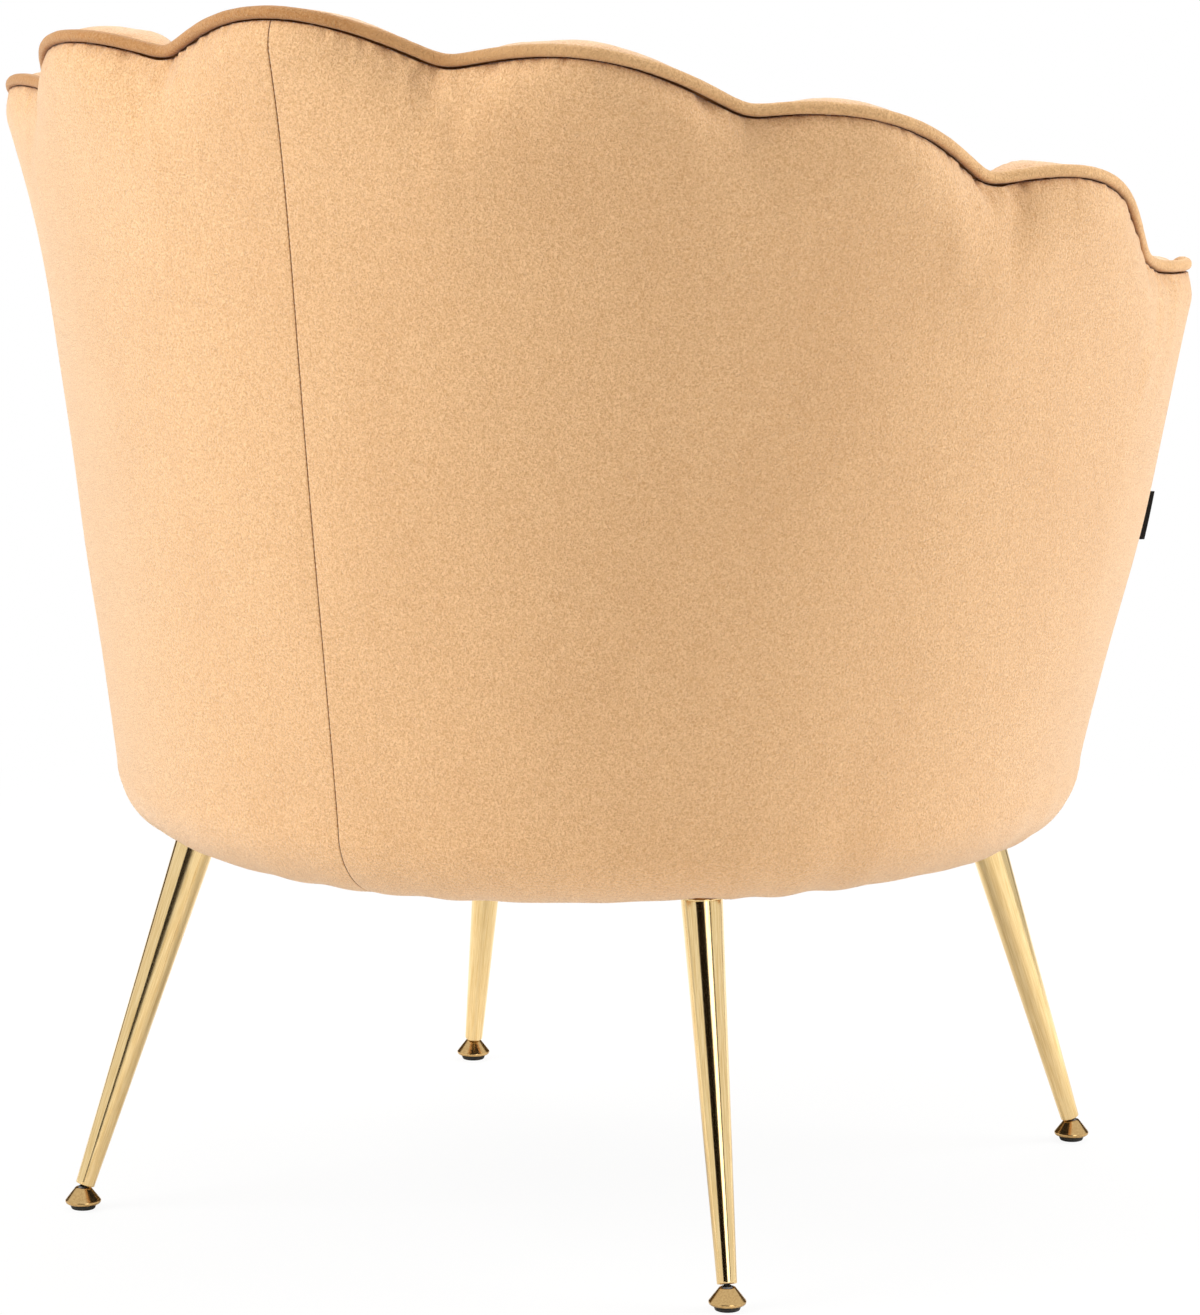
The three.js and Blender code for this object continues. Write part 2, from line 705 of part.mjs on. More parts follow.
function panelSection(u) {
  const levels = ladder(u, seamHeight, rimHeight(rimAngle(u)), coverShares);
  const hemTop = undersideHeight + hemThickness;
  return [
    hemPoint(u, undersideHeight),
    ...underTurns.slice(0, -1).map((turn) => undercutPoint(u, turn, 0, undersideHeight)),
    ...levels.map((z) => outerPoint(u, z)),
    ...levels.toReversed().map((z) => shellPoint(u, z, coverThickness)),
    ...underTurns.toReversed().slice(1).map((turn) => undercutPoint(u, turn, coverThickness, hemTop)),
    hemPoint(u, hemTop),
  ];
}

const seamHalfU = (fitGap / 2) * degreesPerLength / frontAngleAtRim;
for (const [name, side] of [['left', 1], ['right', -1]]) {
  const panel = loft(stationsBetween(seamHalfU, 1).map((u) => panelSection(side * u)), { cap: capSheet });
  const rearLeg = legs.find((leg) => leg.name === `rear_${name}`);
  addMesh(`outer_panel_${name}`, cut(panel, legPocket(rearLeg)), velvet);
}

// Piping along the rim and down both arm fronts, as one cord

const pipingSides = 6;
const pipingDepth = 6.3; // how far the cord's middle lies inside the cover's face
const pipingUnderDepth = 3.3; // the same where it ends under the base
const pipingUnderTurns = [0.25, 0.5, 0.8];

// The panel's edge as u and z, from the middle of the rim to the foot of the arm front
function edgeStations() {
  const rim = halfStations.map((u) => ({ u, z: rimHeight(rimAngle(u)) }));
  const top = rim[rim.length - 1].z;
  const front = ladder(1, seamHeight, top, frameShares).toReversed().slice(1).map((z) => ({ u: 1, z }));
  return [...rim, ...front];
}

function pipingCentres() {
  const offset = pipingRadius + fitGap;
  const edge = edgeStations().map(({ u, z }) => {
    const radius = smoothRadius(u, z) + bulgeAt(u, z) - pipingDepth;
    return { u, z, radius, angle: angleAt(u, z) };
  });
  const flat = edge.map(({ angle, z }) => new THREE.Vector2(degToRad(angle) * rimRadius, z));
  const mirror = new THREE.Vector2(-flat[1].x, flat[1].y);
  const points = edge.map(({ u, z, radius, angle }, i) => {
    const before = flat[i].clone().sub(i === 0 ? mirror : flat[i - 1]).normalize();
    const after = i + 1 < flat.length ? flat[i + 1].clone().sub(flat[i]).normalize() : before;
    const along = before.clone().add(after).normalize();
    const miter = offset / Math.max(along.dot(before), 0.7);
    const turned = angle - radToDeg((along.y * miter) / radius);
    return polarPoint(turned, radius, z + along.x * miter, centreAt(u, z));
  });
  for (const turn of pipingUnderTurns) {
    const phase = (turn * Math.PI) / 2;
    const depth = lerp(pipingDepth, pipingUnderDepth, turn);
    const radius = seamRadius - depth - undercutWidth * (1 - Math.cos(phase));
    const angle = frontAngleAtSeam + radToDeg(offset / radius);
    const z = lerp(seamHeight, undersideHeight + depth, Math.sin(phase));
    points.push(polarPoint(angle, radius, z, seamCentreY));
  }
  return points;
}

// A round cord along a list of points, drawn square to its own path
function cord(points, radius, sides, closed) {
  const count = points.length;
  const around = (i) => points[(i + count) % count];
  const tangents = points.map((point, i) => {
    const next = closed ? around(i + 1) : points[Math.min(i + 1, count - 1)];
    const previous = closed ? around(i - 1) : points[Math.max(i - 1, 0)];
    return next.clone().sub(previous).normalize();
  });
  return loft(points.map((point, i) => {
    const outward = new THREE.Vector3(point.x, point.y - seamCentreY, 0).normalize();
    const across = outward.addScaledVector(tangents[i], -outward.dot(tangents[i])).normalize();
    const up = new THREE.Vector3().crossVectors(tangents[i], across);
    return Array.from({ length: sides }, (_, j) => {
      const turn = (2 * Math.PI * (j + 0.5)) / sides;
      return point.clone()
        .addScaledVector(across, radius * Math.cos(turn))
        .addScaledVector(up, radius * Math.sin(turn));
    });
  }), { closed });
}

const leftPiping = pipingCentres();
const rightPiping = leftPiping.slice(1).map((point) => new THREE.Vector3(-point.x, point.y, point.z));
addMesh('rim_piping', cord([...rightPiping.reverse(), ...leftPiping], pipingRadius, pipingSides, false),
  pipingVelvet);

// Front border: the cover between the arm fronts, from the hem up over the front rail

const borderLipInset = 56; // how far the border turns in over the rail
const borderEdgeRadius = 12; // radius of its upper edge
const borderEndAngle = radToDeg((2 * (pipingRadius + skinGap)) / (seamRadius - undercutWidth));
const borderEnd = borderEndAngle / (180 - frontAngleAtSeam);

function borderSection(u) {
  const hemTop = undersideHeight + hemThickness;
  const edgeLow = deckHeight - borderEdgeRadius;
  const inner = frontRailTop + skinGap;
  return [
    hemPoint(u, undersideHeight),
    ...underTurns.slice(0, -1).map((turn) => undercutPoint(u, turn, 0, undersideHeight)),
    shellPoint(u, seamHeight, 0), shellPoint(u, lerp(seamHeight, edgeLow, 0.5), 0), shellPoint(u, edgeLow, 0),
    shellPoint(u, deckHeight - borderEdgeRadius / 3, borderEdgeRadius / 3),
    shellPoint(u, deckHeight, borderEdgeRadius),
    shellPoint(u, deckHeight, borderLipInset), shellPoint(u, inner, borderLipInset),
    shellPoint(u, inner, 1.5 * coverThickness), shellPoint(u, inner - coverThickness / 2, coverThickness),
    shellPoint(u, edgeLow, coverThickness), shellPoint(u, lerp(seamHeight, edgeLow, 0.5), coverThickness),
    ...underTurns.toReversed().map((turn) => undercutPoint(u, turn, coverThickness, hemTop)),
    hemPoint(u, hemTop),
  ];
}

const frontPockets = legs.filter((leg) => leg.ball.y < 0).flatMap(legPocket);
const border = loft(frontRange(borderEnd).map(borderSection), { cap: capSheet });
addMesh('front_border', cut(border, frontPockets), velvet);

// Nine channel pads: foam lobes that line the shell and roll over its rim to the piping

const padSideGap = fitGap * degreesPerLength / frontAngleAtRim;
const padStep = 3 * padSideGap; // clear of the frame's end
const padBottom = webTop + fitGap;
const rollHeight = 34; // depth of the rounded top of a pad
const padDipDepth = 6; // how much lower a pad's top is in a valley
const ledgeGap = 2 * fitGap;
const padEndThickness = 16; // thickness left at the arm front, measured from the shell

function foamFace(u, z, crown, end) {
  const share = sideShare(u, z);
  const crest = foamInset + lerp(seatFoamThickness, rimFoamThickness, share);
  const valley = foamInset + valleyFoamThickness;
  return lerp(lerp(valley, crest, crown), postInset + padEndThickness, end);
}

// One cross-section of a pad; end runs from 0 to 1 where the last pad rounds off at the arm front
function padSection(u, crown, end, wrapsFrame) {
  const angle = rimAngle(u);
  const rim = rimHeight(angle);
  const pipeSide = pipingDepth + pipingRadius + 2 * skinGap - bulgeAt(u, rim);
  const back = wrapsFrame ? postInset : foamInset;
  const ledge = railTop(u) + ledgeGap;
  const top = rim + fitGap + 2 * pipingRadius - lerp(padDipDepth, fitGap, crown);
  const face = foamFace(u, rim, crown, end);
  const outerTop = rim + ledgeGap;
  const levels = [0.75, 0.5, 0.25].map((share) => lerp(padBottom, top - rollHeight, share));
  return [
    ...ladder(u, padBottom, ledge, frameShares).map((z) => shellPoint(u, z, back)),
    shellPoint(u, wrapsFrame ? ledge + levelGap : ledge, postInset), shellPoint(u, outerTop, postInset),
    shellPoint(u, outerTop, pipeSide), shellPoint(u, lerp(outerTop, top, 0.6), pipeSide),
    shellPoint(u, top, lerp(pipeSide, face, 0.3)),
    shellPoint(u, top - rollHeight * 0.06, lerp(pipeSide, face, 0.62)),
    shellPoint(u, top - rollHeight * 0.35, lerp(pipeSide, face, 0.9)),
    shellPoint(u, top - rollHeight, foamFace(u, top - rollHeight, crown, end)),
    ...levels.map((z) => shellPoint(u, z, foamFace(u, z, crown, end))),
    shellPoint(u, padBottom, foamFace(u, padBottom, crown, end) - fitGap),
  ];
}

function lobeCrown(t) {
  return Math.sin(Math.PI * t) ** 0.6;
}

function channelPad(lobe, side) {
  const edges = [...valleyAngles, frontAngleAtRim];
  const from = (lobe === 0 ? -edges[0] : edges[lobe - 1]) / frontAngleAtRim;
  const to = edges[lobe] / frontAngleAtRim;
  const last = lobe === edges.length - 1;
  const stations = stationsBetween(from + padSideGap, last ? 1 : to - padSideGap);
  const step = [frameEnd + padStep, frameEnd + padStep + padSideGap];
  const places = last ? [...stations, ...step].sort((a, b) => a - b) : stations;
  return loft(places.map((u) => {
    const t = clamp((u - from) / (to - from), 0, 1);
    const end = last ? 1 - Math.sqrt(1 - clamp((t - 0.45) / 0.55, 0, 1) ** 2) : 0;
    const crown = last && t > 0.5 ? 1 : lobeCrown(t);
    return padSection(side * u, crown, end, u > frameEnd + padStep + padSideGap / 2);
  }));
}

addMesh('channel_pad_centre', channelPad(0, 1), velvet);
for (let lobe = 1; lobe <= valleyAngles.length; lobe += 1) {
  addMesh(`channel_pad_left_${lobe}`, channelPad(lobe, 1), velvet);
  addMesh(`channel_pad_right_${lobe}`, channelPad(lobe, -1), velvet);
}

// Seat: a foam deck on the webbing, and a loose boxed cushion with a welt at each seam

const planSteps = 40;
const deckGap = 4; // round the deck, to the pads and the border
const cushionGap = 0.5; // round the cushion, to the pads
const cushionFrontInset = 6; // from the border's face back to the cushion's face
const crownHeight = 14;
const upperSeamDepth = 12; // from the seat height to the upper seam at the edge
const lowerSeamHeight = 9; // from the deck to the lower seam
const drawInDepth = 2; // how far the boxing pulls in between its seams
const blendFrom = 106; // where the plan starts to leave the round back for the front
const blendTo = 150;
const weltRadius = 4;
const weltSides = 6;

// A plan that is round at the back and sides and reaches further at the front
function planLoop(sideRadius, frontRadius, z, scale) {
  return Array.from({ length: planSteps }, (_, i) => {
    const angle = (360 * i) / planSteps - 180;
    const radius = lerp(sideRadius, frontRadius, smoothstep(Math.abs(angle), blendFrom, blendTo));
    return polarPoint(angle, radius * scale, z, seamCentreY);
  });
}

// Radius of the pads' crests about the seam circle's middle, where they stand closest to it
function wallRadius(z) {
  const u = sideAngle / frontAngleAtRim;
  const shift = (centreAt(u, z) - seamCentreY) * Math.cos(degToRad(sideAngle));
  return smoothRadius(u, z) - foamFace(u, z, 1, 0) + shift;
}

const deckSideRadius = wallRadius(webTop) - deckGap;
const deckFrontRadius = smoothRadius(2, webTop) - borderLipInset - deckGap;
const deckBevelWidth = 6;
addMesh('seat_deck', loft([
  planLoop(deckSideRadius, deckFrontRadius, webTop + fitGap, 1),
  planLoop(deckSideRadius, deckFrontRadius, deckHeight - deckBevelWidth, 1),
  planLoop(deckSideRadius - deckBevelWidth, deckFrontRadius - deckBevelWidth, deckHeight, 1),
]), velvet);

const cushionBottom = deckHeight + fitGap;
const lowerSeam = cushionBottom + lowerSeamHeight;
const upperSeam = seatHeight - crownHeight - upperSeamDepth + weltRadius;
const cushionBottomRadius = wallRadius(lowerSeam) - cushionGap;
const cushionTopRadius = wallRadius(upperSeam) - cushionGap;
const cushionFrontRadius = smoothRadius(2, deckHeight) - cushionFrontInset;

function cushionLoop(share, z, grow, scale = 1) {
  return planLoop(lerp(cushionBottomRadius, cushionTopRadius, share) + grow,
    cushionFrontRadius + grow, z, scale);
}

const weltSeat = weltRadius + fitGap; // the cushion steps back so that a welt fits in its seam
const crownScales = [0.93, 0.8, 0.6, 0.35, 0.12];
addMesh('seat_cushion', loft([
  cushionLoop(0, cushionBottom, -weltSeat, 0.9),
  cushionLoop(0, lowerSeam - weltSeat, -weltSeat),
  cushionLoop(0, lowerSeam - weltSeat, -2 * weltSeat),
  cushionLoop(0, lowerSeam + weltSeat, -2 * weltSeat),
  cushionLoop(0, lowerSeam + weltSeat, -weltSeat),
  cushionLoop(0.5, lerp(lowerSeam, upperSeam, 0.5), -weltSeat - drawInDepth),
  cushionLoop(1, upperSeam - weltSeat, -weltSeat),
  cushionLoop(1, upperSeam - weltSeat, -2 * weltSeat),
  cushionLoop(1, upperSeam + weltSeat, -2 * weltSeat),
  ...crownScales.map((scale) => (
    cushionLoop(1, lerp(upperSeam + weltSeat, seatHeight, (1 - scale ** 3) ** 0.8), -2 * weltSeat, scale)
  )),
]), velvet);

addMesh('cushion_welt_lower', cord(cushionLoop(0, lowerSeam, -weltSeat), weltRadius, weltSides, true),
  pipingVelvet);
addMesh('cushion_welt_upper', cord(cushionLoop(1, upperSeam, -weltSeat), weltRadius, weltSides, true),
  pipingVelvet);

// Plain ribbon tab, folded double and sewn into the right arm's front seam

const tabHeight = 31;
const tabWidth = 7;
const tabThickness = 1.4;
const tabMiddleHeight = 445; // height above the floor
const tabEdgeWidth = 3; // along the cover, from the arm front

function tab() {
  const u = -1 + (tabEdgeWidth * degreesPerLength) / frontAngleAtRim;
  return loft([tabMiddleHeight - tabHeight / 2, tabMiddleHeight + tabHeight / 2].map((z) => {
    const half = degreesAt(tabThickness / 2, u, z);
    const root = smoothRadius(u, z) + bulgeAt(u, z) + skinGap;
    return [[-half, root], [half, root], [half, root + tabWidth - tabThickness], [0, root + tabWidth],
      [-half, root + tabWidth - tabThickness]].map(([turn, radius]) => (
      polarPoint(angleAt(u, z) + turn, radius, z, centreAt(u, z))
    ));
  }));
}
addMesh('side_tab', tab(), blackCloth);

// The origin goes under the middle of the box
const box = new THREE.Box3().setFromObject(chair);
chair.position.set(-(box.min.x + box.max.x) / 2, -(box.min.y + box.max.y) / 2, -box.min.z);
chair.updateMatrixWorld(true);

export default chair;
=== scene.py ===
"""Scallop back chair: the dressed model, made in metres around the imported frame.

The chair faces -Y, its back is towards +Y, and the sitter's left is +X.
"""

import logging
import math
from collections.abc import Callable, Sequence
from dataclasses import dataclass, field
from enum import Enum, StrEnum

import bmesh
import bpy
import numpy as np
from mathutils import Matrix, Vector


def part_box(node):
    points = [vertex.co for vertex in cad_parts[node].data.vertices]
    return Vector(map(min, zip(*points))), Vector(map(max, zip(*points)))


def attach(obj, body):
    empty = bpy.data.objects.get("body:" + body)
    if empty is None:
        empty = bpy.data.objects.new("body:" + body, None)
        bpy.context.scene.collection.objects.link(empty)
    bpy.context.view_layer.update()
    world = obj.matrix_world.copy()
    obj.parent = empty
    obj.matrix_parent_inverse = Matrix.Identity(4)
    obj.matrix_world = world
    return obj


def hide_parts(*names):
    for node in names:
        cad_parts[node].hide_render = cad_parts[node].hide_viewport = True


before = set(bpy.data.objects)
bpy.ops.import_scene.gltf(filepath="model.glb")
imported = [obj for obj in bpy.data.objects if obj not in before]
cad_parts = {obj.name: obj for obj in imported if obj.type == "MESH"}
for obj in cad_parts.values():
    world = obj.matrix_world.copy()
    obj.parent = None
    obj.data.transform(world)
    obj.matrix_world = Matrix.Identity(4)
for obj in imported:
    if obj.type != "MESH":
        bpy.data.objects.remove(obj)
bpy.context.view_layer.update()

MM = 0.001

logging.basicConfig(level=logging.INFO, format="%(name)s %(message)s")
log = logging.getLogger("chair")

Array = np.ndarray
Piece = bpy.types.Object
Material = bpy.types.Material
Tree = bpy.types.NodeTree


class Body(StrEnum):
    """The CAD bodies that pieces ride on."""

    CHAIR = "chair"
    CUSHION = "cushion"


class Slot(StrEnum):
    """Material slot names that are passed along with the finished pieces."""

    VELVET = "velvet"
    PIPING = "piping_velvet"
    GOLD = "gold_metal"
    ZINC = "zinc_steel"
    BRONZE = "bronze_metal"
    RUBBER = "rubber"
    BLACK_CLOTH = "black_cloth"


class Side(int, Enum):
    """The sitter's left is +X, and the right is -X."""

    LEFT = 1
    RIGHT = -1

    @property
    def word(self) -> str:
        """The side's name as the CAD nodes have it."""
        return self.name.lower()


class Corner(Enum):
    """The four legs, each with its side and its end of the chair."""

    FRONT_LEFT = (1, -1)
    FRONT_RIGHT = (-1, -1)
    REAR_LEFT = (1, 1)
    REAR_RIGHT = (-1, 1)

    @property
    def word(self) -> str:
        """The corner's name as the CAD nodes have it."""
        return self.name.lower()


# Nodes, colours and materials


def linear(hex_colour: str) -> tuple[float, float, float, float]:
    """Turns an sRGB colour such as "#E0B080" to linear RGBA.

    Args:
        hex_colour: the colour, with its leading hash.

    Returns:
        Four linear values, the last of them 1.
    """
    values = [int(hex_colour[i:i + 2], 16) / 255 for i in (1, 3, 5)]
    toe, power = 0.04045, 2.4
    bright = [v / 12.92 if v <= toe else ((v + 0.055) / 1.055) ** power for v in values]
    return (*bright, 1.0)


def add_node(tree: Tree, kind: str, inputs: dict | None = None, **settings) -> bpy.types.Node:
    """Adds a shader node with its settings, values and links.

    Args:
        tree: the node tree that gets the node.
        kind: the node's type, such as "ShaderNodeBump".
        inputs: for each input's name or number, a value or the socket to link from.
        **settings: attributes of the node itself.

    Returns:
        The new node.
    """
    node = tree.nodes.new(kind)
    for key, value in settings.items():
        setattr(node, key, value)
    for key, value in (inputs or {}).items():
        if isinstance(value, bpy.types.NodeSocket):
            tree.links.new(value, node.inputs[key])
        else:
            node.inputs[key].default_value = value
    return node


def new_material(name: str) -> tuple[Material, Tree]:
    """Makes an empty node material.

    Args:
        name: the material's name.

    Returns:
        The material and its cleared node tree.
    """
    material = bpy.data.materials.new(name)
    material.use_nodes = True
    material.node_tree.nodes.clear()
    return material, material.node_tree


def finish_material(tree: Tree, height: bpy.types.NodeSocket, strength: float, depth_mm: float,
                    inputs: dict) -> None:
    """Adds the bump, the Principled shader and the material's output.

    Args:
        tree: the material's node tree.
        height: the relief, from 0 to 1.
        strength: how much of the bump counts.
        depth_mm: the relief's real depth.
        inputs: the shader's other values and links.
    """
    bump = add_node(tree, "ShaderNodeBump", {"Strength": strength, "Distance": depth_mm * MM, "Height": height})
    shader = add_node(tree, "ShaderNodeBsdfPrincipled", {**inputs, "Normal": bump.outputs["Normal"]})
    add_node(tree, "ShaderNodeOutputMaterial", {"Surface": shader.outputs["BSDF"]})


@dataclass(frozen=True)
class Velvet:
    """Polyester velvet, woven and sheared: a soft bright edge where the pile is seen from the side, a pebbled nap
    whose low spots carry painted shade, broad patches where the pile has been brushed another way, painted shade in
    creases and under the piping, and, where asked, painted shade over the sitter's left."""

    name: str = "polyester_velvet_apricot"
    pile: str = "#F9CC9A"
    # painted shade: the nap's low spots darken towards this root colour, standing in for the tufts' relief over their
    # random tone
    root_shade: str = "#CE9660"
    # the brushed patches' own colour; on the piping cord it is also the colour that the painted side shade darkens
    # towards
    brushed: str = "#E6B786"
    # painted shade: ambient occlusion darkens creases, the back seam and the gap under the piping towards this colour
    crease_shade: str = "#8E4A08"
    brushing: float = 0.35  # how much the brushed patches show
    painted_side_shade: float = 0.0  # how much painted shade darkens the pile towards the brushed colour over the sitter's left and the middle
    sheen: float = 0.75
    nap_mm: float = 1.15  # tufts are 0.3 mm; drawn as the clumps that show
    patch_mm: float = 110.0
    nap_depth_mm: float = 1.0

    def material(self) -> Material:
        """Builds the velvet.

        Returns:
            Its node material.
        """
        material, tree = new_material(self.name)
        place = add_node(tree, "ShaderNodeTexCoord").outputs["Object"]
        nap = add_node(tree, "ShaderNodeTexNoise", {
            "Vector": place, "Scale": 1 / (self.nap_mm * MM), "Detail": 1.0, "Roughness": 0.4, "Distortion": 0.9})
        fall = add_node(tree, "ShaderNodeMapping", {"Vector": place, "Scale": (1.0, 1.0, 0.6)})
        patch = add_node(tree, "ShaderNodeTexNoise", {
            "Vector": fall.outputs["Vector"], "Scale": 1 / (self.patch_mm * MM), "Detail": 3.0,
            "Roughness": 0.55, "Distortion": 0.3})
        brushed = add_node(tree, "ShaderNodeMapRange", {
            "Value": patch.outputs["Fac"], "From Min": 0.45, "From Max": 0.7, "To Max": self.brushing})
        # painted shade: from x = -0.2 m across the middle to the sitter's left the pile darkens towards the brushed
        # colour
        side = add_node(tree, "ShaderNodeSeparateXYZ", {"Vector": place})
        painted_side_shade = add_node(tree, "ShaderNodeMapRange", {
            "Value": side.outputs["X"], "From Min": -0.2, "From Max": -0.04, "To Max": self.painted_side_shade})
        share = add_node(tree, "ShaderNodeMath", {
            0: brushed.outputs["Result"], 1: painted_side_shade.outputs["Result"]}, operation="ADD")
        broad = add_node(tree, "ShaderNodeMix", {
            0: share.outputs["Value"], 6: linear(self.pile), 7: linear(self.brushed)}, data_type="RGBA")
        # painted shade: the nap's low spots, where the bump is lowest, darken towards the root colour
        pit = add_node(tree, "ShaderNodeMapRange", {
            "Value": nap.outputs["Fac"], "From Min": 0.3, "From Max": 0.66, "To Min": 0.75, "To Max": 0.0})
        tufts = add_node(tree, "ShaderNodeMix", {
            0: pit.outputs["Result"], 6: broad.outputs[2], 7: linear(self.root_shade)}, data_type="RGBA")
        # painted shade: ambient occlusion within 9 mm darkens creases and recesses towards the crease colour
        open_sky = add_node(tree, "ShaderNodeAmbientOcclusion", {"Distance": 9 * MM}, samples=6)
        closed = add_node(tree, "ShaderNodeMapRange", {
            "Value": open_sky.outputs["AO"], "From Min": 0.3, "From Max": 0.9, "To Min": 1.0, "To Max": 0.0})
        colour = add_node(tree, "ShaderNodeMix", {
            0: closed.outputs["Result"], 6: tufts.outputs[2], 7: linear(self.crease_shade)}, data_type="RGBA")
        finish_material(tree, nap.outputs["Fac"], 1.0, self.nap_depth_mm, {
            "Base Color": colour.outputs[2], "Roughness": 0.92, "Specular IOR Level": 0.2,
            "Sheen Weight": self.sheen, "Sheen Roughness": 0.45, "Sheen Tint": linear("#FFF3E4")})
        return material


@dataclass(frozen=True)
class PlatedTube:
    """Steel tube, electroplated in brass colour and polished: mirror bright, with the faint
    lengthwise lines of the polishing belt."""

    axis: Vector
    name: str
    plate: str = "#EED4A0"
    worn: str = "#D6B478"
    roughness: float = 0.13
    line_mm: float = 0.7

    def material(self) -> Material:
        """Builds the plated metal, with its lines along the tube.

        Returns:
            Its node material.
        """
        material, tree = new_material(self.name)
        place = add_node(tree, "ShaderNodeTexCoord").outputs["Object"]
        turn = self.axis.rotation_difference(Vector((0, 0, 1))).to_euler()
        upright = add_node(tree, "ShaderNodeMapping", {"Vector": place, "Rotation": tuple(turn)})
        along = add_node(tree, "ShaderNodeMapping", {
            "Vector": upright.outputs["Vector"], "Scale": (1.0, 1.0, 0.012)})
        line = add_node(tree, "ShaderNodeTexNoise", {
            "Vector": along.outputs["Vector"], "Scale": 1 / (self.line_mm * MM), "Detail": 4.0, "Roughness": 0.6})
        streak = add_node(tree, "ShaderNodeMapRange", {
            "Value": line.outputs["Fac"], "From Min": 0.35, "From Max": 0.7})
        colour = add_node(tree, "ShaderNodeMix", {
            0: streak.outputs["Result"], 6: linear(self.plate), 7: linear(self.worn)}, data_type="RGBA")
        rough = add_node(tree, "ShaderNodeMapRange", {
            "Value": line.outputs["Fac"], "To Min": self.roughness * 0.6, "To Max": self.roughness * 1.5})
        finish_material(tree, line.outputs["Fac"], 0.1, 0.1, {
            "Base Color": colour.outputs[2], "Metallic": 1.0, "Roughness": rough.outputs["Result"]})
        return material


@dataclass(frozen=True)
class CastMetal:
    """Die-cast or turned metal with its plating: softer reflections than the tube's, with small pits."""

    name: str
    face: str
    shade: str
    roughness: float
    pit_mm: float = 1.2

    def material(self) -> Material:
        """Builds the cast metal.

        Returns:
            Its node material.
        """
        material, tree = new_material(self.name)
        place = add_node(tree, "ShaderNodeTexCoord").outputs["Object"]
        pit = add_node(tree, "ShaderNodeTexNoise", {
            "Vector": place, "Scale": 1 / (self.pit_mm * MM), "Detail": 3.0})
        colour = add_node(tree, "ShaderNodeMix", {
            0: pit.outputs["Fac"], 6: linear(self.face), 7: linear(self.shade)}, data_type="RGBA")
        rough = add_node(tree, "ShaderNodeMapRange", {
            "Value": pit.outputs["Fac"], "To Min": self.roughness * 0.75, "To Max": self.roughness * 1.35})
        finish_material(tree, pit.outputs["Fac"], 0.15, 0.1, {
            "Base Color": colour.outputs[2], "Metallic": 1.0, "Roughness": rough.outputs["Result"]})
        return material


@dataclass(frozen=True)
class MouldedRubber:
    """Moulded black rubber: matte, with a fine grain from the mould and a little grey dust."""

    name: str = "moulded_black_rubber"
    face: str = "#1D1E1D"
    dust: str = "#383734"
    grain_mm: float = 0.7

    def material(self) -> Material:
        """Builds the rubber.

        Returns:
            Its node material.
        """
        material, tree = new_material(self.name)
        place = add_node(tree, "ShaderNodeTexCoord").outputs["Object"]
        grain = add_node(tree, "ShaderNodeTexNoise", {
            "Vector": place, "Scale": 1 / (self.grain_mm * MM), "Detail": 4.0})
        colour = add_node(tree, "ShaderNodeMix", {
            0: grain.outputs["Fac"], 6: linear(self.face), 7: linear(self.dust)}, data_type="RGBA")
        finish_material(tree, grain.outputs["Fac"], 0.3, 0.1, {"Base Color": colour.outputs[2], "Roughness": 0.75})
        return material


@dataclass(frozen=True)
class RawWood:
    """Unfinished wood or board: long grain lines over a warm body, dull, with open pores."""

    name: str
    early: str
    late: str
    grain_mm: float
    stretch: tuple[float, float, float]

    def material(self) -> Material:
        """Builds the wood.

        Returns:
            Its node material.
        """
        material, tree = new_material(self.name)
        place = add_node(tree, "ShaderNodeTexCoord").outputs["Object"]
        along = add_node(tree, "ShaderNodeMapping", {"Vector": place, "Scale": self.stretch})
        grain = add_node(tree, "ShaderNodeTexNoise", {
            "Vector": along.outputs["Vector"], "Scale": 1 / (self.grain_mm * MM), "Detail": 4.0, "Distortion": 0.4})
        lines = add_node(tree, "ShaderNodeMapRange", {
            "Value": grain.outputs["Fac"], "From Min": 0.35, "From Max": 0.65})
        colour = add_node(tree, "ShaderNodeMix", {
            0: lines.outputs["Result"], 6: linear(self.early), 7: linear(self.late)}, data_type="RGBA")
        finish_material(tree, grain.outputs["Fac"], 0.25, 0.2, {"Base Color": colour.outputs[2], "Roughness": 0.72})
        return material


@dataclass(frozen=True)
class WovenCloth:
    """Flat-woven or bonded synthetic cloth: a small regular weave, dull, with threads a shade apart."""

    name: str
    thread: str
    gap: str
    pitch_mm: float
    depth_mm: float = 0.2

    def material(self) -> Material:
        """Builds the cloth.

        Returns:
            Its node material.
        """
        material, tree = new_material(self.name)
        place = add_node(tree, "ShaderNodeTexCoord").outputs["Object"]
        waves = [add_node(tree, "ShaderNodeTexWave", {
            "Vector": place, "Scale": 0.31 / (self.pitch_mm * MM), "Distortion": 0.6, "Detail": 1.0},
            bands_direction=axis) for axis in ("X", "Y", "Z")]
        pair = add_node(tree, "ShaderNodeMath", {
            0: waves[0].outputs["Fac"], 1: waves[1].outputs["Fac"]}, operation="MAXIMUM")
        weave = add_node(tree, "ShaderNodeMath", {
            0: pair.outputs["Value"], 1: waves[2].outputs["Fac"]}, operation="MULTIPLY")
        colour = add_node(tree, "ShaderNodeMix", {
            0: weave.outputs["Value"], 6: linear(self.gap), 7: linear(self.thread)}, data_type="RGBA")
        finish_material(tree, weave.outputs["Value"], 0.5, self.depth_mm, {
            "Base Color": colour.outputs[2], "Roughness": 0.85, "Specular IOR Level": 0.3})
        return material


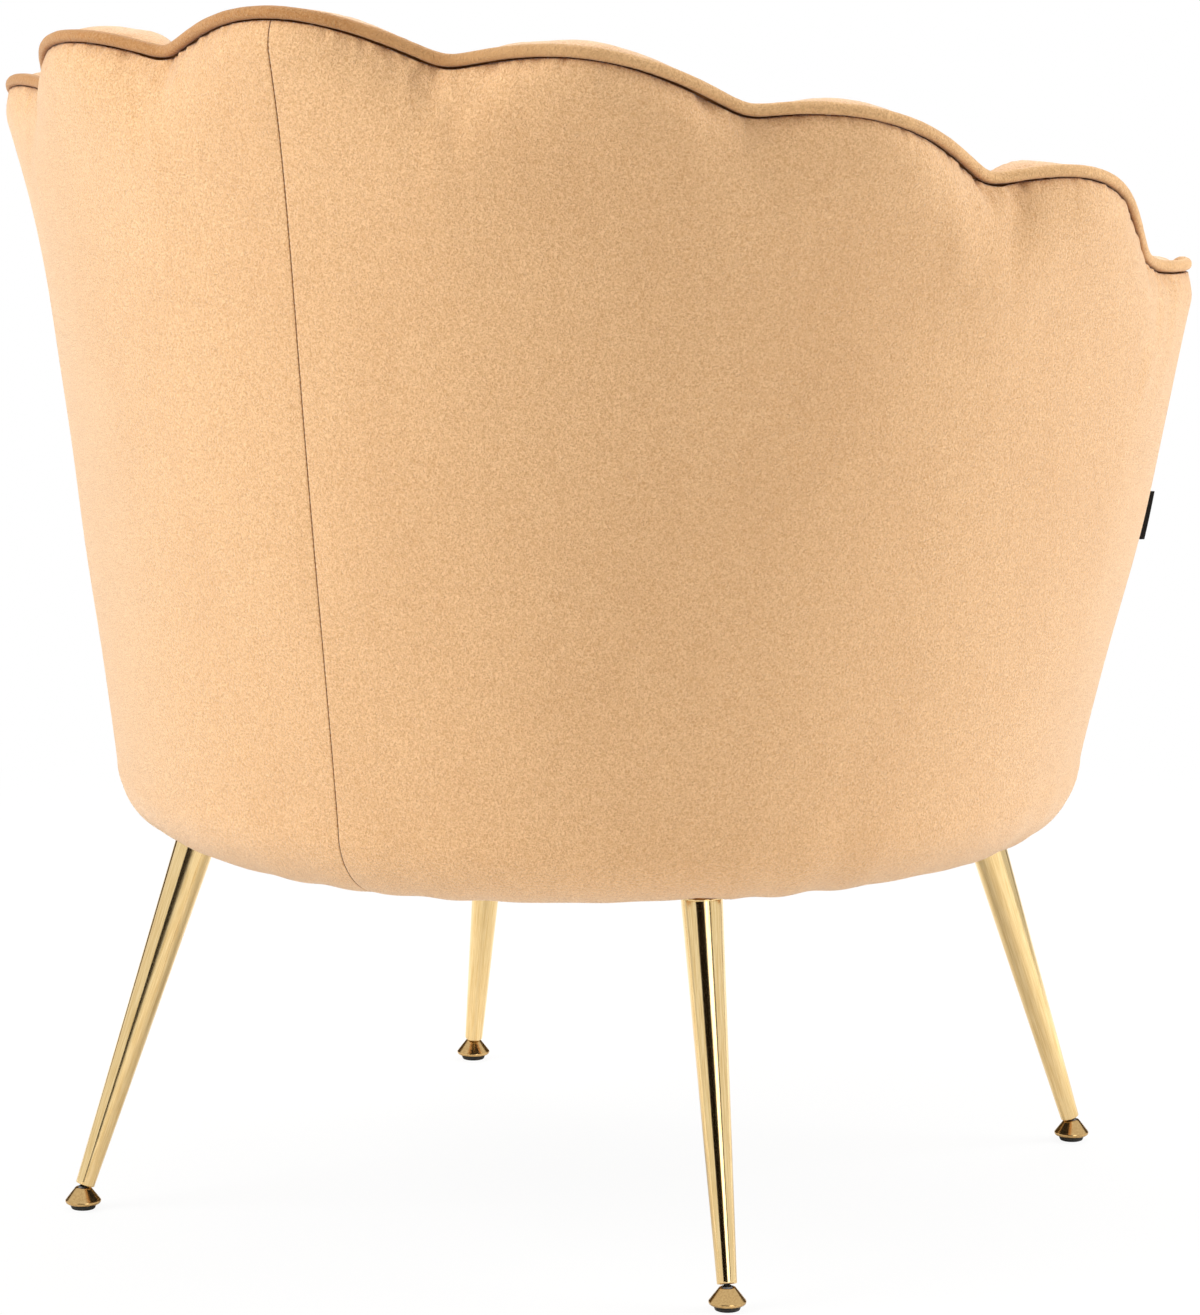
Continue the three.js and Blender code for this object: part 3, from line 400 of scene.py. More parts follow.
@dataclass(frozen=True)
class Palette:
    """Every finish on the chair, made once."""

    velvet: Material
    cord: Material
    brass: dict[Corner, Material]
    bronze: Material
    zinc: Material
    rubber: Material
    plywood: Material
    timber: Material
    hardboard: Material
    webbing: Material
    dust_cloth: Material
    ribbon: Material
    thread: Material
    # the piping's seam allowance, coloured dark as painted shade for the crease under the cord
    backing: Material

    @classmethod
    def mixed(cls, layout: "LegLayout") -> "Palette":
        """Builds all the materials; the legs' metal follows the direction of each leg.

        Args:
            layout: where the legs stand.

        Returns:
            The palette.
        """
        return cls(
            velvet=Velvet().material(),
            # the cord's brushed colour also serves as painted shade over the sitter's left
            cord=Velvet(name="polyester_velvet_on_the_bias", pile="#EBBE89", root_shade="#C99A68", brushed="#B47E4A",
                        brushing=0.25, painted_side_shade=0.95, nap_mm=1.4, patch_mm=60.0, sheen=0.4).material(),
            brass={corner: PlatedTube(layout.axis(corner), f"brass_plated_tube_{corner.word}").material()
                   for corner in Corner},
            # painted shade: the seam allowance is dark so that the gap under the cord reads as a shadowed crease
            backing=WovenCloth("velvet_ground_weave_back", "#84521E", "#603810", 0.5, 0.05).material(),
            bronze=CastMetal("zinc_casting_brass_plated", "#DEBC84", "#A98652", 0.2).material(),
            zinc=CastMetal("steel_zinc_plated", "#8C8D8F", "#6A6B6D", 0.34).material(),
            rubber=MouldedRubber().material(),
            plywood=RawWood("birch_plywood_raw", "#D8BC8C", "#B8935F", 3.0, (1.0, 1.0, 6.0)).material(),
            timber=RawWood("pine_raw", "#CFA873", "#A87A48", 4.0, (1.0, 1.0, 0.08)).material(),
            hardboard=RawWood("hardboard_pressed_fibre", "#9A7750", "#7C5C3A", 1.4, (1.0, 1.0, 1.0)).material(),
            webbing=WovenCloth("polypropylene_webbing_woven", "#4A4946", "#242322", 1.8).material(),
            dust_cloth=WovenCloth("bonded_dust_cloth_black", "#232324", "#141415", 1.1, 0.1).material(),
            ribbon=WovenCloth("satin_ribbon_black", "#1F1F20", "#101011", 0.6, 0.08).material(),
            thread=WovenCloth("spun_polyester_thread", "#A87440", "#7C5228", 0.4, 0.05).material(),
        )


# Meshes


def make_object(name: str, points: Array, faces: Sequence[Sequence[int]], material: Material,
                smooth: bool = True) -> Piece:
    """Makes a mesh object where its points are.

    Args:
        name: the piece's name.
        points: its vertices, in metres.
        faces: its faces, as vertex numbers.
        material: its finish.
        smooth: whether its faces are shaded smooth.

    Returns:
        The linked object.
    """
    mesh = bpy.data.meshes.new(name)
    mesh.from_pydata(np.asarray(points, float).tolist(), [], [list(map(int, face)) for face in faces])
    mesh.validate()
    mesh.materials.append(material)
    mesh.polygons.foreach_set("use_smooth", [smooth] * len(mesh.polygons))
    piece = bpy.data.objects.new(name, mesh)
    bpy.context.scene.collection.objects.link(piece)
    return piece


def grid_faces(rows: int, columns: int, wrap_rows: bool = False, wrap_columns: bool = False) -> list[list[int]]:
    """Lists the quads of a grid whose vertices run column by column within each row.

    Args:
        rows: the number of rows.
        columns: the number of vertices in a row.
        wrap_rows: whether the last row joins the first.
        wrap_columns: whether each row closes on itself.

    Returns:
        The faces.
    """
    faces = []
    for i in range(rows if wrap_rows else rows - 1):
        for j in range(columns if wrap_columns else columns - 1):
            k, nxt = (j + 1) % columns, (i + 1) % rows
            faces.append([i * columns + j, i * columns + k, nxt * columns + k, nxt * columns + j])
    return faces


def outward(piece: Piece) -> Piece:
    """Turns a piece's faces so that they all look outwards.

    Args:
        piece: a closed mesh.

    Returns:
        The same piece.
    """
    shape = bmesh.new()
    shape.from_mesh(piece.data)
    bmesh.ops.recalc_face_normals(shape, faces=shape.faces)
    shape.to_mesh(piece.data)
    shape.free()
    return piece


def loft(name: str, grid: Array, material: Material, smooth: bool = True) -> Piece:
    """Joins closed rings of points into a solid, with a flat face over the first and the last ring.

    Args:
        name: the piece's name.
        grid: its points, of shape (rings, points in a ring, 3).
        material: the finish.
        smooth: whether its faces are shaded smooth.

    Returns:
        The piece.
    """
    rings, columns = grid.shape[:2]
    faces = grid_faces(rings, columns, wrap_columns=True)
    faces += [list(range(columns)), [(rings - 1) * columns + j for j in range(columns)]]
    return outward(make_object(name, grid.reshape(-1, 3), faces, material, smooth))


def grid_normals(points: Array, middle: Array) -> Array:
    """Finds the unit normals of a grid of points, which all look away from a point in the middle."""
    normals = unit(np.cross(np.gradient(points, axis=0), np.gradient(points, axis=1)))
    return normals * np.sign(np.sum(normals * (points - middle), axis=2, keepdims=True))


def unit(vectors: Array) -> Array:
    """Scales vectors to length 1 along their last axis."""
    return vectors / np.maximum(np.linalg.norm(vectors, axis=-1, keepdims=True), 1e-12)


def ripple(places: Array, wave_mm: float, seed: int, count: int = 14) -> Array:
    """Sums waves of random directions and phases into a smooth wobble.

    Args:
        places: positions, with their coordinates along the last axis, in metres.
        wave_mm: the mean wavelength.
        seed: which wobble.
        count: how many waves.

    Returns:
        One value for each position, with a spread of about 1.
    """
    draw = np.random.default_rng(seed)
    total = np.zeros(places.shape[:-1])
    for _ in range(count):
        direction = unit(draw.normal(size=places.shape[-1]))
        wave = wave_mm * MM * draw.uniform(0.6, 1.7)
        total += np.sin(places @ direction * (2 * math.pi / wave) + draw.uniform(0, 2 * math.pi))
    return total * math.sqrt(2 / count)


def sweep(name: str, path: Array, radius: Array, outwards: Array, sides: int, closed: bool,
          material: Material) -> Piece:
    """Sweeps a round section along a path.

    Args:
        name: the piece's name.
        path: the centre line.
        radius: the section's radius at each point.
        outwards: a direction at each point that the section is squared to.
        sides: the number of sides.
        closed: whether the path closes on itself.
        material: the finish.

    Returns:
        The piece.
    """
    if closed:
        tangent = unit(np.roll(path, -1, axis=0) - np.roll(path, 1, axis=0))
    else:
        tangent = unit(np.gradient(path, axis=0))
    across = unit(outwards - tangent * np.sum(outwards * tangent, axis=1, keepdims=True))
    up = np.cross(tangent, across)
    turn = 2 * math.pi * np.arange(sides) / sides
    ring = (across[:, None] * np.cos(turn)[None, :, None] + up[:, None] * np.sin(turn)[None, :, None])
    points = (path[:, None] + ring * radius[:, None, None]).reshape(-1, 3)
    faces = grid_faces(len(path), sides, wrap_rows=closed, wrap_columns=True)
    if not closed:
        faces += [list(range(sides)), [(len(path) - 1) * sides + j for j in range(sides)]]
    return outward(make_object(name, points, faces, material))


def lathe(name: str, profile: Sequence[tuple[float, float]], origin: Vector, axis: Vector, segments: int,
          material: Material) -> Piece:
    """Turns a profile about an axis.

    Args:
        name: the piece's name.
        profile: radius and height pairs in millimetres, the first and last of them on the axis.
        origin: the point that heights are measured from.
        axis: the axis.
        segments: the number of steps round the axis.
        material: the finish.

    Returns:
        The piece.
    """
    turn = 2 * math.pi * np.arange(segments) / segments
    frame_z = unit(np.array(axis))
    helper = np.array((1.0, 0.0, 0.0)) if abs(frame_z[0]) < 0.9 else np.array((0.0, 1.0, 0.0))
    frame_x = unit(np.cross(helper, frame_z))
    frame_y = np.cross(frame_z, frame_x)
    points, faces, previous = [], [], None
    for radius, height in profile:
        centre = np.array(origin) + frame_z * height * MM
        start = len(points)
        if radius <= 0:
            points.append(centre)
            ring = [start] * segments
        else:
            points += [centre + radius * MM * (frame_x * math.cos(t) + frame_y * math.sin(t)) for t in turn]
            ring = [start + j for j in range(segments)]
        if previous is not None:
            for j in range(segments):
                k = (j + 1) % segments
                face = list(dict.fromkeys([previous[j], previous[k], ring[k], ring[j]]))
                if len(face) > 2:
                    faces.append(face)
        previous = ring
    return outward(make_object(name, np.array(points), faces, material))


def rounded(profile: Sequence[tuple[float, float]], radius: float, steps: int = 3) -> list[tuple[float, float]]:
    """Rounds the inner corners of a profile.

    Args:
        profile: points of an open polyline.
        radius: the length cut from each side of a corner, in the profile's unit.
        steps: how many points take a corner's place, less one.

    Returns:
        The rounded polyline.
    """
    result = [profile[0]]
    for before, corner, after in zip(profile, profile[1:], profile[2:]):
        a, b, c = np.array(before), np.array(corner), np.array(after)
        reach = min(radius, 0.45 * np.linalg.norm(a - b), 0.45 * np.linalg.norm(c - b))
        first, last = b + unit(a - b) * reach, b + unit(c - b) * reach
        for i in range(steps + 1):
            t = i / steps
            result.append(tuple((1 - t) ** 2 * first + 2 * t * (1 - t) * b + t ** 2 * last))
    return [*result, profile[-1]]


def arc_profile(radius: float, height: float, angles: Sequence[float]) -> list[tuple[float, float]]:
    """Lists a ball's radius and height pairs at angles above its widest, its centre being at a height."""
    return [(radius * math.cos(math.radians(t)), height + radius * math.sin(math.radians(t))) for t in angles]


def place(piece: Piece, body: str, slot: Slot, *nodes: str) -> None:
    """Hides the CAD nodes that a finished piece replaces, makes it ride, and logs it.

    Args:
        piece: the piece, in place.
        body: the body that it rides on.
        slot: not used.
        *nodes: the CAD nodes that it replaces.
    """
    if nodes:
        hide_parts(*nodes)
    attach(piece, body)
    log.info("%s: %d faces on %s", piece.name, len(piece.data.polygons), body)


@dataclass
class Filling:
    """Blows a closed shape up like foam in a cover, by a short cloth simulation."""

    voxel_mm: float = 5.0
    pressure: float = 4.0
    spare: float = 0.01  # share by which the cloth is cut larger than the shape
    frames: int = 20
    cap_mm: float = 8.0
    stiffness: float = 12.0

    def swell(self, piece: Piece, held: Callable[[Array], Array]) -> None:
        """Remeshes the piece, simulates it and applies the result.

        Args:
            piece: a closed mesh, in place.
            held: gives each vertex's hold from 0 to 1, from the vertices' positions.
        """
        remesh = piece.modifiers.new("remesh", "REMESH")
        remesh.mode = "VOXEL"
        remesh.voxel_size = self.voxel_mm * MM
        remesh.use_smooth_shade = True
        apply_modifiers(piece)
        smooth_mesh(piece, 4)
        before = vertices(piece)
        group = piece.vertex_groups.new(name="held")
        for index, weight in enumerate(held(before)):
            if weight > 0.01:
                group.add([index], float(weight), "REPLACE")
        cloth = piece.modifiers.new("cloth", "CLOTH")
        settings = cloth.settings
        settings.quality = 6
        settings.mass = 0.3
        settings.use_pressure = True
        settings.uniform_pressure_force = self.pressure
        settings.tension_stiffness = settings.compression_stiffness = self.stiffness
        settings.shear_stiffness = self.stiffness / 2
        settings.bending_stiffness = 0.4
        settings.shrink_min = -self.spare
        settings.effector_weights.gravity = 0
        settings.vertex_group_mass = "held"
        cloth.collision_settings.use_collision = False
        cloth.point_cache.frame_start, cloth.point_cache.frame_end = 1, self.frames
        scene = bpy.context.scene
        for step in range(1, self.frames + 1):
            scene.frame_set(step)
        after = evaluated_vertices(piece)
        piece.modifiers.remove(cloth)
        piece.vertex_groups.clear()
        scene.frame_set(1)
        move = after - before
        length = np.linalg.norm(move, axis=1, keepdims=True)
        cap = self.cap_mm * MM
        move *= cap * np.tanh(length / cap) / np.maximum(length, 1e-9)
        set_vertices(piece, before + move)
        smooth_mesh(piece, 1)


def read_vectors(items: bpy.types.bpy_prop_collection, name: str) -> Array:
    """Reads a vector of each item in a mesh's collection.

    Args:
        items: the collection, such as the mesh's vertices.
        name: the vector's name, such as "co".

    Returns:
        One row for each item.
    """
    flat = np.empty(len(items) * 3, np.float32)
    items.foreach_get(name, flat)
    return flat.reshape(-1, 3).astype(float)


def vertices(piece: Piece) -> Array:
    """Reads a mesh's vertex positions."""
    return read_vectors(piece.data.vertices, "co")


def evaluated_vertices(piece: Piece) -> Array:
    """Reads a mesh's vertex positions with its modifiers' effect."""
    shown = piece.evaluated_get(bpy.context.evaluated_depsgraph_get())
    return read_vectors(shown.data.vertices, "co")


def vertex_normals(piece: Piece) -> Array:
    """Reads a mesh's vertex normals."""
    return read_vectors(piece.data.vertex_normals, "vector")


def set_vertices(piece: Piece, points: Array) -> None:
    """Writes a mesh's vertex positions."""
    piece.data.vertices.foreach_set("co", np.ascontiguousarray(points, dtype=np.float32).ravel())
    piece.data.update()


def apply_modifiers(piece: Piece) -> None:
    """Turns what a piece's modifiers show into its own mesh, shaded smooth.

    Args:
        piece: the piece, which keeps its name and place.
    """
    shown = piece.evaluated_get(bpy.context.evaluated_depsgraph_get())
    mesh = bpy.data.meshes.new_from_object(shown)
    piece.modifiers.clear()
    piece.data = mesh
    mesh.polygons.foreach_set("use_smooth", [True] * len(mesh.polygons))


def thicken(piece: Piece, thickness: float, offset: float) -> None:
    """Gives an open sheet its thickness.

    Args:
        piece: the sheet.
        thickness: how thick it becomes.
        offset: -1 where the new face lies behind the old one, 0 where both lie at equal distance.
    """
    cloth = piece.modifiers.new("cloth", "SOLIDIFY")
    cloth.thickness, cloth.offset = thickness, offset
    apply_modifiers(piece)


def smooth_mesh(piece: Piece, rounds: int) -> None:
    """Evens out a mesh by moving each vertex halfway to its neighbours' mean.

    Args:
        piece: the piece.
        rounds: how many times over.
    """
    points = vertices(piece)
    edges = np.empty(len(piece.data.edges) * 2, np.int32)
    piece.data.edges.foreach_get("vertices", edges)
    first, second = edges.reshape(-1, 2).T
    count = np.bincount(edges, minlength=len(points))[:, None]
    for _ in range(rounds):
        total = np.zeros_like(points)
        np.add.at(total, first, points[second])
        np.add.at(total, second, points[first])
        points = 0.5 * points + 0.5 * total / np.maximum(count, 1)
    set_vertices(piece, points)


# The shell's shape


def smoothstep(value: Array, low: float, high: float) -> Array:
    """Eases from 0 at low to 1 at high."""
    t = np.clip((value - low) / (high - low), 0, 1)
    return t * t * (3 - 2 * t)


def blur(values: Array, width: float) -> Array:
    """Smooths evenly spaced values with a bell curve.

    Args:
        values: the samples.
        width: the curve's spread, in samples.

    Returns:
        As many smoothed samples.
    """
    reach = int(3 * width) + 1
    bell = np.exp(-0.5 * (np.arange(-reach, reach + 1) / width) ** 2)
    padded = np.pad(values, reach, mode="edge")
    return np.convolve(padded, bell / bell.sum(), mode="valid")


@dataclass
class ShellForm:
    """The tub's outer surface. Angles are in degrees from the middle of the back, heights in metres.

    A place on it is given by u, from -1 to 1 between the arm fronts and up to 3 round the front, and by its height.
    """

    centre_y: float
    seam_height: float = 286 * MM
    underside: float = 238 * MM
    rim_peak: float = 782.1 * MM
    seam_radius: float = 318.5 * MM
    rim_radius: float = 365.3 * MM
    rim_set_back: float = 7 * MM
    arm_flare: float = 8 * MM
    back_belly: float = 7 * MM
    side_belly: float = 1.5 * MM
    back_angle: float = 15  # the back's belly ends here, and the side's begins at side_angle
    side_angle: float = 50
    arm_belly: float = 12.6 * MM
    undercut: float = 52 * MM
    hem_inner: float = 244.5 * MM
    valleys: tuple[float, ...] = (16, 45, 72, 100)
    front_at_rim: float = 124
    front_at_seam: float = 113
    valley_heights: tuple[float, ...] = (0.941, 0.882, 0.790, 0.658, 0.642)
    lobe_rise: float = 27 * MM
    lobe_rises: tuple[float, ...] = (1.1, 0.83, 0.71, 1.14, 0)
    lobe_skews: tuple[float, ...] = (1, 1, 0.9, 1.02, 1)
    lobe_bulge: float = 19 * MM
    bulge_fade: tuple[float, float] = (85 * MM, 104 * MM)  # at the back and at the arms
    dent_depth: float = 70 * MM
    even_share: float = 0.9
    arm_floor: float = 0.3  # the least swelling in the valley at the arms
    floor_angles: tuple[float, float] = (78, 98)  # between which it comes in
    soft_angles: tuple[float, float] = (88, 97)  # between which the rim grows softer towards the arms
    corner: float = 40 * MM
    step: float = 0.05  # degrees between the entries of the tables
    tables: dict[str, Array] = field(init=False, default_factory=dict)

    def __post_init__(self) -> None:
        """Fills the tables of the rim's height and of how full the lobes are, with rounded valleys."""
        half = np.arange(0, self.front_at_rim + self.step / 2, self.step)
        edges = np.array([*self.valleys, self.front_at_rim])
        lobe = np.minimum(np.searchsorted(edges, half - 1e-9), len(edges) - 1)
        low = np.where(lobe == 0, -edges[0], edges[np.maximum(lobe - 1, 0)])
        share = np.clip((half - low) / (edges[lobe] - low), 0, 1)
        heights = np.array(self.valley_heights)
        base = np.where(lobe == 0, heights[0], heights[np.maximum(lobe - 1, 0)] * (1 - share) + heights[lobe] * share)
        base = self.seam_height + (self.rim_peak - self.seam_height) * base
        skewed = share ** np.array(self.lobe_skews)[lobe]
        rise = self.lobe_rise * np.array(self.lobe_rises)[lobe] * np.sin(np.pi * skewed)
        start = self.front_at_rim - math.degrees(self.corner / self.rim_radius)
        across = np.clip((half - start) / (self.front_at_rim - start), 0, 1)
        drop = self.corner * (1 - np.sqrt(1 - across ** 2))
        last = (lobe == len(edges) - 1) & (share > 0.5)
        end = np.where(last, np.sqrt(np.clip(1 - (2 * share - 1) ** 2, 0, 1)), 1.0)
        floor = self.arm_floor * smoothstep(half, *self.floor_angles)
        full = np.where(last, end, floor + (1 - floor) * np.sin(np.pi * share) ** 1.6)
        self.tables = {"angle": half, "base": base}
        for name, values, width in (("rim", base + rise, 1.2), ("arm_rim", base + rise, 3.2), ("full", full, 0.8),
                                    ("even", end, 0.8)):
            both = np.concatenate([values[:0:-1], values])
            self.tables[name] = blur(both, width / self.step)[len(values) - 1:]
        soft = smoothstep(half, *self.soft_angles)
        self.tables["rim"] += (self.tables["arm_rim"] - self.tables["rim"]) * soft - drop

    def look_up(self, name: str, angle: Array) -> Array:
        """Reads a table at angles of either sign, in degrees."""
        return np.interp(np.abs(angle), self.tables["angle"], self.tables[name])

    @property
    def front_height(self) -> float:
        """Height of the rim's base line at the arm fronts."""
        return self.seam_height + (self.rim_peak - self.seam_height) * self.valley_heights[-1]

    def rim_angle(self, u: Array) -> Array:
        """Angle from the middle of the back at which a place lies along the rim."""
        return np.clip(np.abs(u), 0, 1) * self.front_at_rim

    def rim(self, u: Array) -> Array:
        """Height of the rim."""
        return self.look_up("rim", self.rim_angle(u))

    def front_angle(self, z: Array) -> Array:
        """Angle of the arm front's edge at a height."""
        share = np.clip((z - self.seam_height) / (self.front_height - self.seam_height), 0, 1)
        return self.front_at_seam + (self.front_at_rim - self.front_at_seam) * share

    def angle(self, u: Array, z: Array) -> Array:
        """Finds the angle of a place.

        Args:
            u: where it lies round the shell.
            z: its height.

        Returns:
            The angle from the middle of the back, in degrees.
        """
        front = self.front_angle(z)
        size = np.abs(u)
        return np.where(size <= 1, u * front, np.sign(u) * (front + (size - 1) * (180 - front)))

    def side_share(self, u: Array, z: Array) -> Array:
        """Finds how far up the side a place is.

        Args:
            u: where it lies round the shell.
            z: its height.

        Returns:
            A share from 0 at the seam under the sides to 1 above the rim.
        """
        base = np.where(np.abs(u) > 1, self.front_height, self.look_up("base", self.rim_angle(u)))
        top = base + self.lobe_rise
        return np.clip((z - self.seam_height) / (top - self.seam_height), 0, 1)

    def arm_share(self, u: Array) -> Array:
        """How far a place is into the arms, from 0 at the back to 1 at the arm fronts and round the front."""
        return np.where(np.abs(u) > 1, 1.0, smoothstep(np.abs(u) * self.front_at_rim, 60, self.front_at_seam))

    def radius(self, u: Array, z: Array) -> Array:
        """Finds the radius of the side without its lobes.

        Args:
            u: where the place lies round the shell.
            z: its height.

        Returns:
            The radius from the shell's axis.
        """
        share = self.side_share(u, z)
        arm = self.arm_share(u)
        straight = self.seam_radius + (self.rim_radius + self.arm_flare * arm - self.seam_radius) * share
        beside = smoothstep(self.rim_angle(u), self.back_angle, self.side_angle)
        belly = self.back_belly + (self.side_belly - self.back_belly) * beside
        belly = belly + (self.arm_belly - belly) * arm
        return straight + belly * np.sin(np.pi * share ** 1.3)

    def bulge(self, u: Array, z: Array) -> Array:
        """Finds how far the lobes swell beyond the smooth side; the valleys are dents that even out below the rim.

        Args:
            u: where the place lies round the shell.
            z: its height.

        Returns:
            The swelling.
        """
        angle = self.rim_angle(u)
        depth = np.maximum(self.look_up("rim", angle) - z, 0)
        even = smoothstep(depth, 0, self.dent_depth)
        full = self.look_up("full", angle) * (1 - even) + self.even_share * self.look_up("even", angle) * even
        fade = self.bulge_fade[0] + (self.bulge_fade[1] - self.bulge_fade[0]) * self.arm_share(u)
        return np.where(np.abs(u) >= 1, 0, self.lobe_bulge * full * np.exp(-((depth / fade) ** 1.3)))

    def polar(self, angle: Array, radius: Array, z: Array, share: Array) -> Array:
        """Turns angles and radii into positions.

        Args:
            angle: degrees from the middle of the back.
            radius: the distance from the shell's axis.
            z: the height.
            share: how far up the side, for the axis leans back.

        Returns:
            The positions.
        """
        turn = np.radians(angle)
        y = self.centre_y + self.rim_set_back * share + radius * np.cos(turn)
        return np.stack(np.broadcast_arrays(radius * np.sin(turn), y, z), axis=-1)

    def point(self, u: Array, z: Array, inset: Array) -> Array:
        """A place inset from the smooth side."""
        return self.polar(self.angle(u, z), self.radius(u, z) - inset, z, self.side_share(u, z))

    def level(self, u: Array, radius: float | Array, z: float | Array) -> Array:
        """Places under the base, each below the seam's place with the same u."""
        angle = self.angle(u, np.full_like(u, self.seam_height))
        return self.polar(angle, np.full_like(u, radius), np.full_like(u, z), 0.0)

    def hem(self, u: Array, roll: float) -> list[Array]:
        """Lays out a cover's rolled hem and the flat strip outside it.

        Args:
            u: where the columns lie round the shell.
            roll: the hem's radius.

        Returns:
            The rows, outwards.
        """
        turns = np.linspace(0, math.pi, 9)
        rolled = [(self.hem_inner + roll * (1 - math.sin(turn)), self.underside + roll * (1 + math.cos(turn)))
                  for turn in turns]
        radii = np.linspace(self.hem_inner + roll, self.seam_radius - self.undercut, 6)[1:-1]
        flat = [(radius, self.underside) for radius in radii]
        return [self.level(u, radius, z) for radius, z in rolled + flat]

    def turned_under(self, u: Array) -> list[Array]:
        """Lays out the side's turn under the base.

        Args:
            u: where the columns lie round the shell.

        Returns:
            The rows, from the flat strip outwards and up to the seam.
        """
        rows = []
        for turn in np.linspace(1, 0, 26):
            phase = turn * np.pi / 2
            radius = self.seam_radius - self.undercut * (1 - np.cos(phase))
            rows.append(self.level(u, radius, self.seam_height + (self.underside - self.seam_height) * np.sin(phase)))
        return rows


@dataclass
class LegLayout:
    """Where the four legs stand and how they lean."""

    centre_y: float
    foot_x: float = 240 * MM
    foot_y: float = 244.5 * MM
    ball_z: float = 12 * MM
    top_x: float = 187 * MM
    rear_top_y: float = 183.5 * MM
    front_top_y: float = 192.5 * MM
    top_z: float = 245 * MM
    plate_length: float = 58 * MM
    plate_width: float = 56 * MM
    plate_thickness: float = 3 * MM
    seam_forward: float = 12 * MM
    clearance: float = 1 * MM  # left free round a plate
    tube_room: float = 14.5 * MM  # and round a tube, from its middle
    cloth_slope: float = 1.1  # how steeply the cloth comes down beside them
    cloth_reach: float = 9 * MM

    def ball(self, corner: Corner) -> Vector:
        """The middle of the glide's ball."""
        side, end = corner.value
        return Vector((side * self.foot_x, self.centre_y + self.seam_forward + end * self.foot_y, self.ball_z))

    def top(self, corner: Corner) -> Vector:
        """Finds the middle of a leg's upper end.

        Args:
            corner: which leg.

        Returns:
            The point, on the plate's upper face.
        """
        side, end = corner.value
        reach = self.rear_top_y if end > 0 else self.front_top_y
        return Vector((side * self.top_x, self.centre_y + self.seam_forward + end * reach, self.top_z))

    def axis(self, corner: Corner) -> Vector:
        """The leg's direction, upwards."""
        return (self.top(corner) - self.ball(corner)).normalized()

    def inward(self, corner: Corner) -> Vector:
        """The level direction from the leg's top to the middle of the base."""
        top = self.top(corner)
        return Vector((-top.x, self.centre_y - top.y, 0)).normalized()

    def sideways(self, corner: Corner) -> Vector:
        """The level direction along the plate's width."""
        inward = self.inward(corner)
        return Vector((-inward.y, inward.x, 0))

    def clear(self, points: Array) -> Array:
        """Lifts cloth points that lie under the base off the leg plates and tubes.

        Args:
            points: positions, with their coordinates along the last axis.

        Returns:
            The positions, pressed up round each plate.
        """
        result = points.copy()
        for corner in Corner:
            offset = result - np.array(self.top(corner))
            along = offset @ np.array(self.inward(corner)) - self.plate_length / 2
            beside = offset @ np.array(self.sideways(corner))
            past_end = np.abs(along) - self.plate_length / 2 - self.clearance
            past_side = np.abs(beside) - self.plate_width / 2 - self.clearance
            plate = np.maximum(np.maximum(past_end, past_side), 0)
            tube = np.maximum(np.hypot(offset[..., 0], offset[..., 1]) - self.tube_room, 0)
            gap = np.minimum(plate, tube)
            lift = self.top_z + 0.6 * MM - gap * self.cloth_slope
            near = (result[..., 2] < lift) & (gap < self.cloth_reach)
            result[..., 2] = np.where(near, lift, result[..., 2])
        return result


# What sewing does to cloth


def edge_roll(distance: Array, reach: float, tuck: float) -> Array:
    """How far cloth turns in near an edge, as a quarter ellipse of that reach and depth."""
    near = np.clip(1 - distance / reach, 0, 1)
    return tuck * (1 - np.sqrt(1 - near ** 2))


@dataclass(frozen=True)
class Wrinkles:
    """Small waves that a seam leaves in cloth, fading away from it."""

    wave_mm: float
    depth_mm: float
    fade_mm: float
    seed: int

    def relief(self, places: Array, distance: Array) -> Array:
        """Finds how far the cloth stands out at places, from their coordinates and their distance from the seam."""
        fade = np.exp(-distance / (self.fade_mm * MM))
        return ripple(places, self.wave_mm, self.seed) * fade * self.depth_mm * MM


def drawn_out(along: Array, away: Array, scale: float) -> Array:
    """Pairs coordinates along a seam and away from it, the second scaled so that waves run long that way."""
    return np.stack(np.broadcast_arrays(along, away * scale), axis=-1)


def eased(distance: Array, reach_mm: float) -> Array:
    """Rises from 0 at an edge to 1 at a distance."""
    return np.clip(distance / (reach_mm * MM), 0, 1)


# Sub-assemblies


def cover_sheet(name: str, grid: Array, middle: Array, thickness: float, material: Material) -> Piece:
    """Makes a padded cover from the grid of its outer face, with its thickness behind that.

    Args:
        name: the piece's name.
        grid: the outer face's points.
        middle: a point that the outer face looks away from.
        thickness: the cloth and its wadding.
        material: the finish.

    Returns:
        The piece.
    """
    piece = make_object(name, grid.reshape(-1, 3), grid_faces(*grid.shape[:2]), material)
    polygons = piece.data.polygons
    facing = np.sum((read_vectors(polygons, "center") - middle) * read_vectors(polygons, "normal"), axis=1)
    if np.median(facing) < 0:
        piece.data.flip_normals()
    thicken(piece, thickness, -1)
    return piece


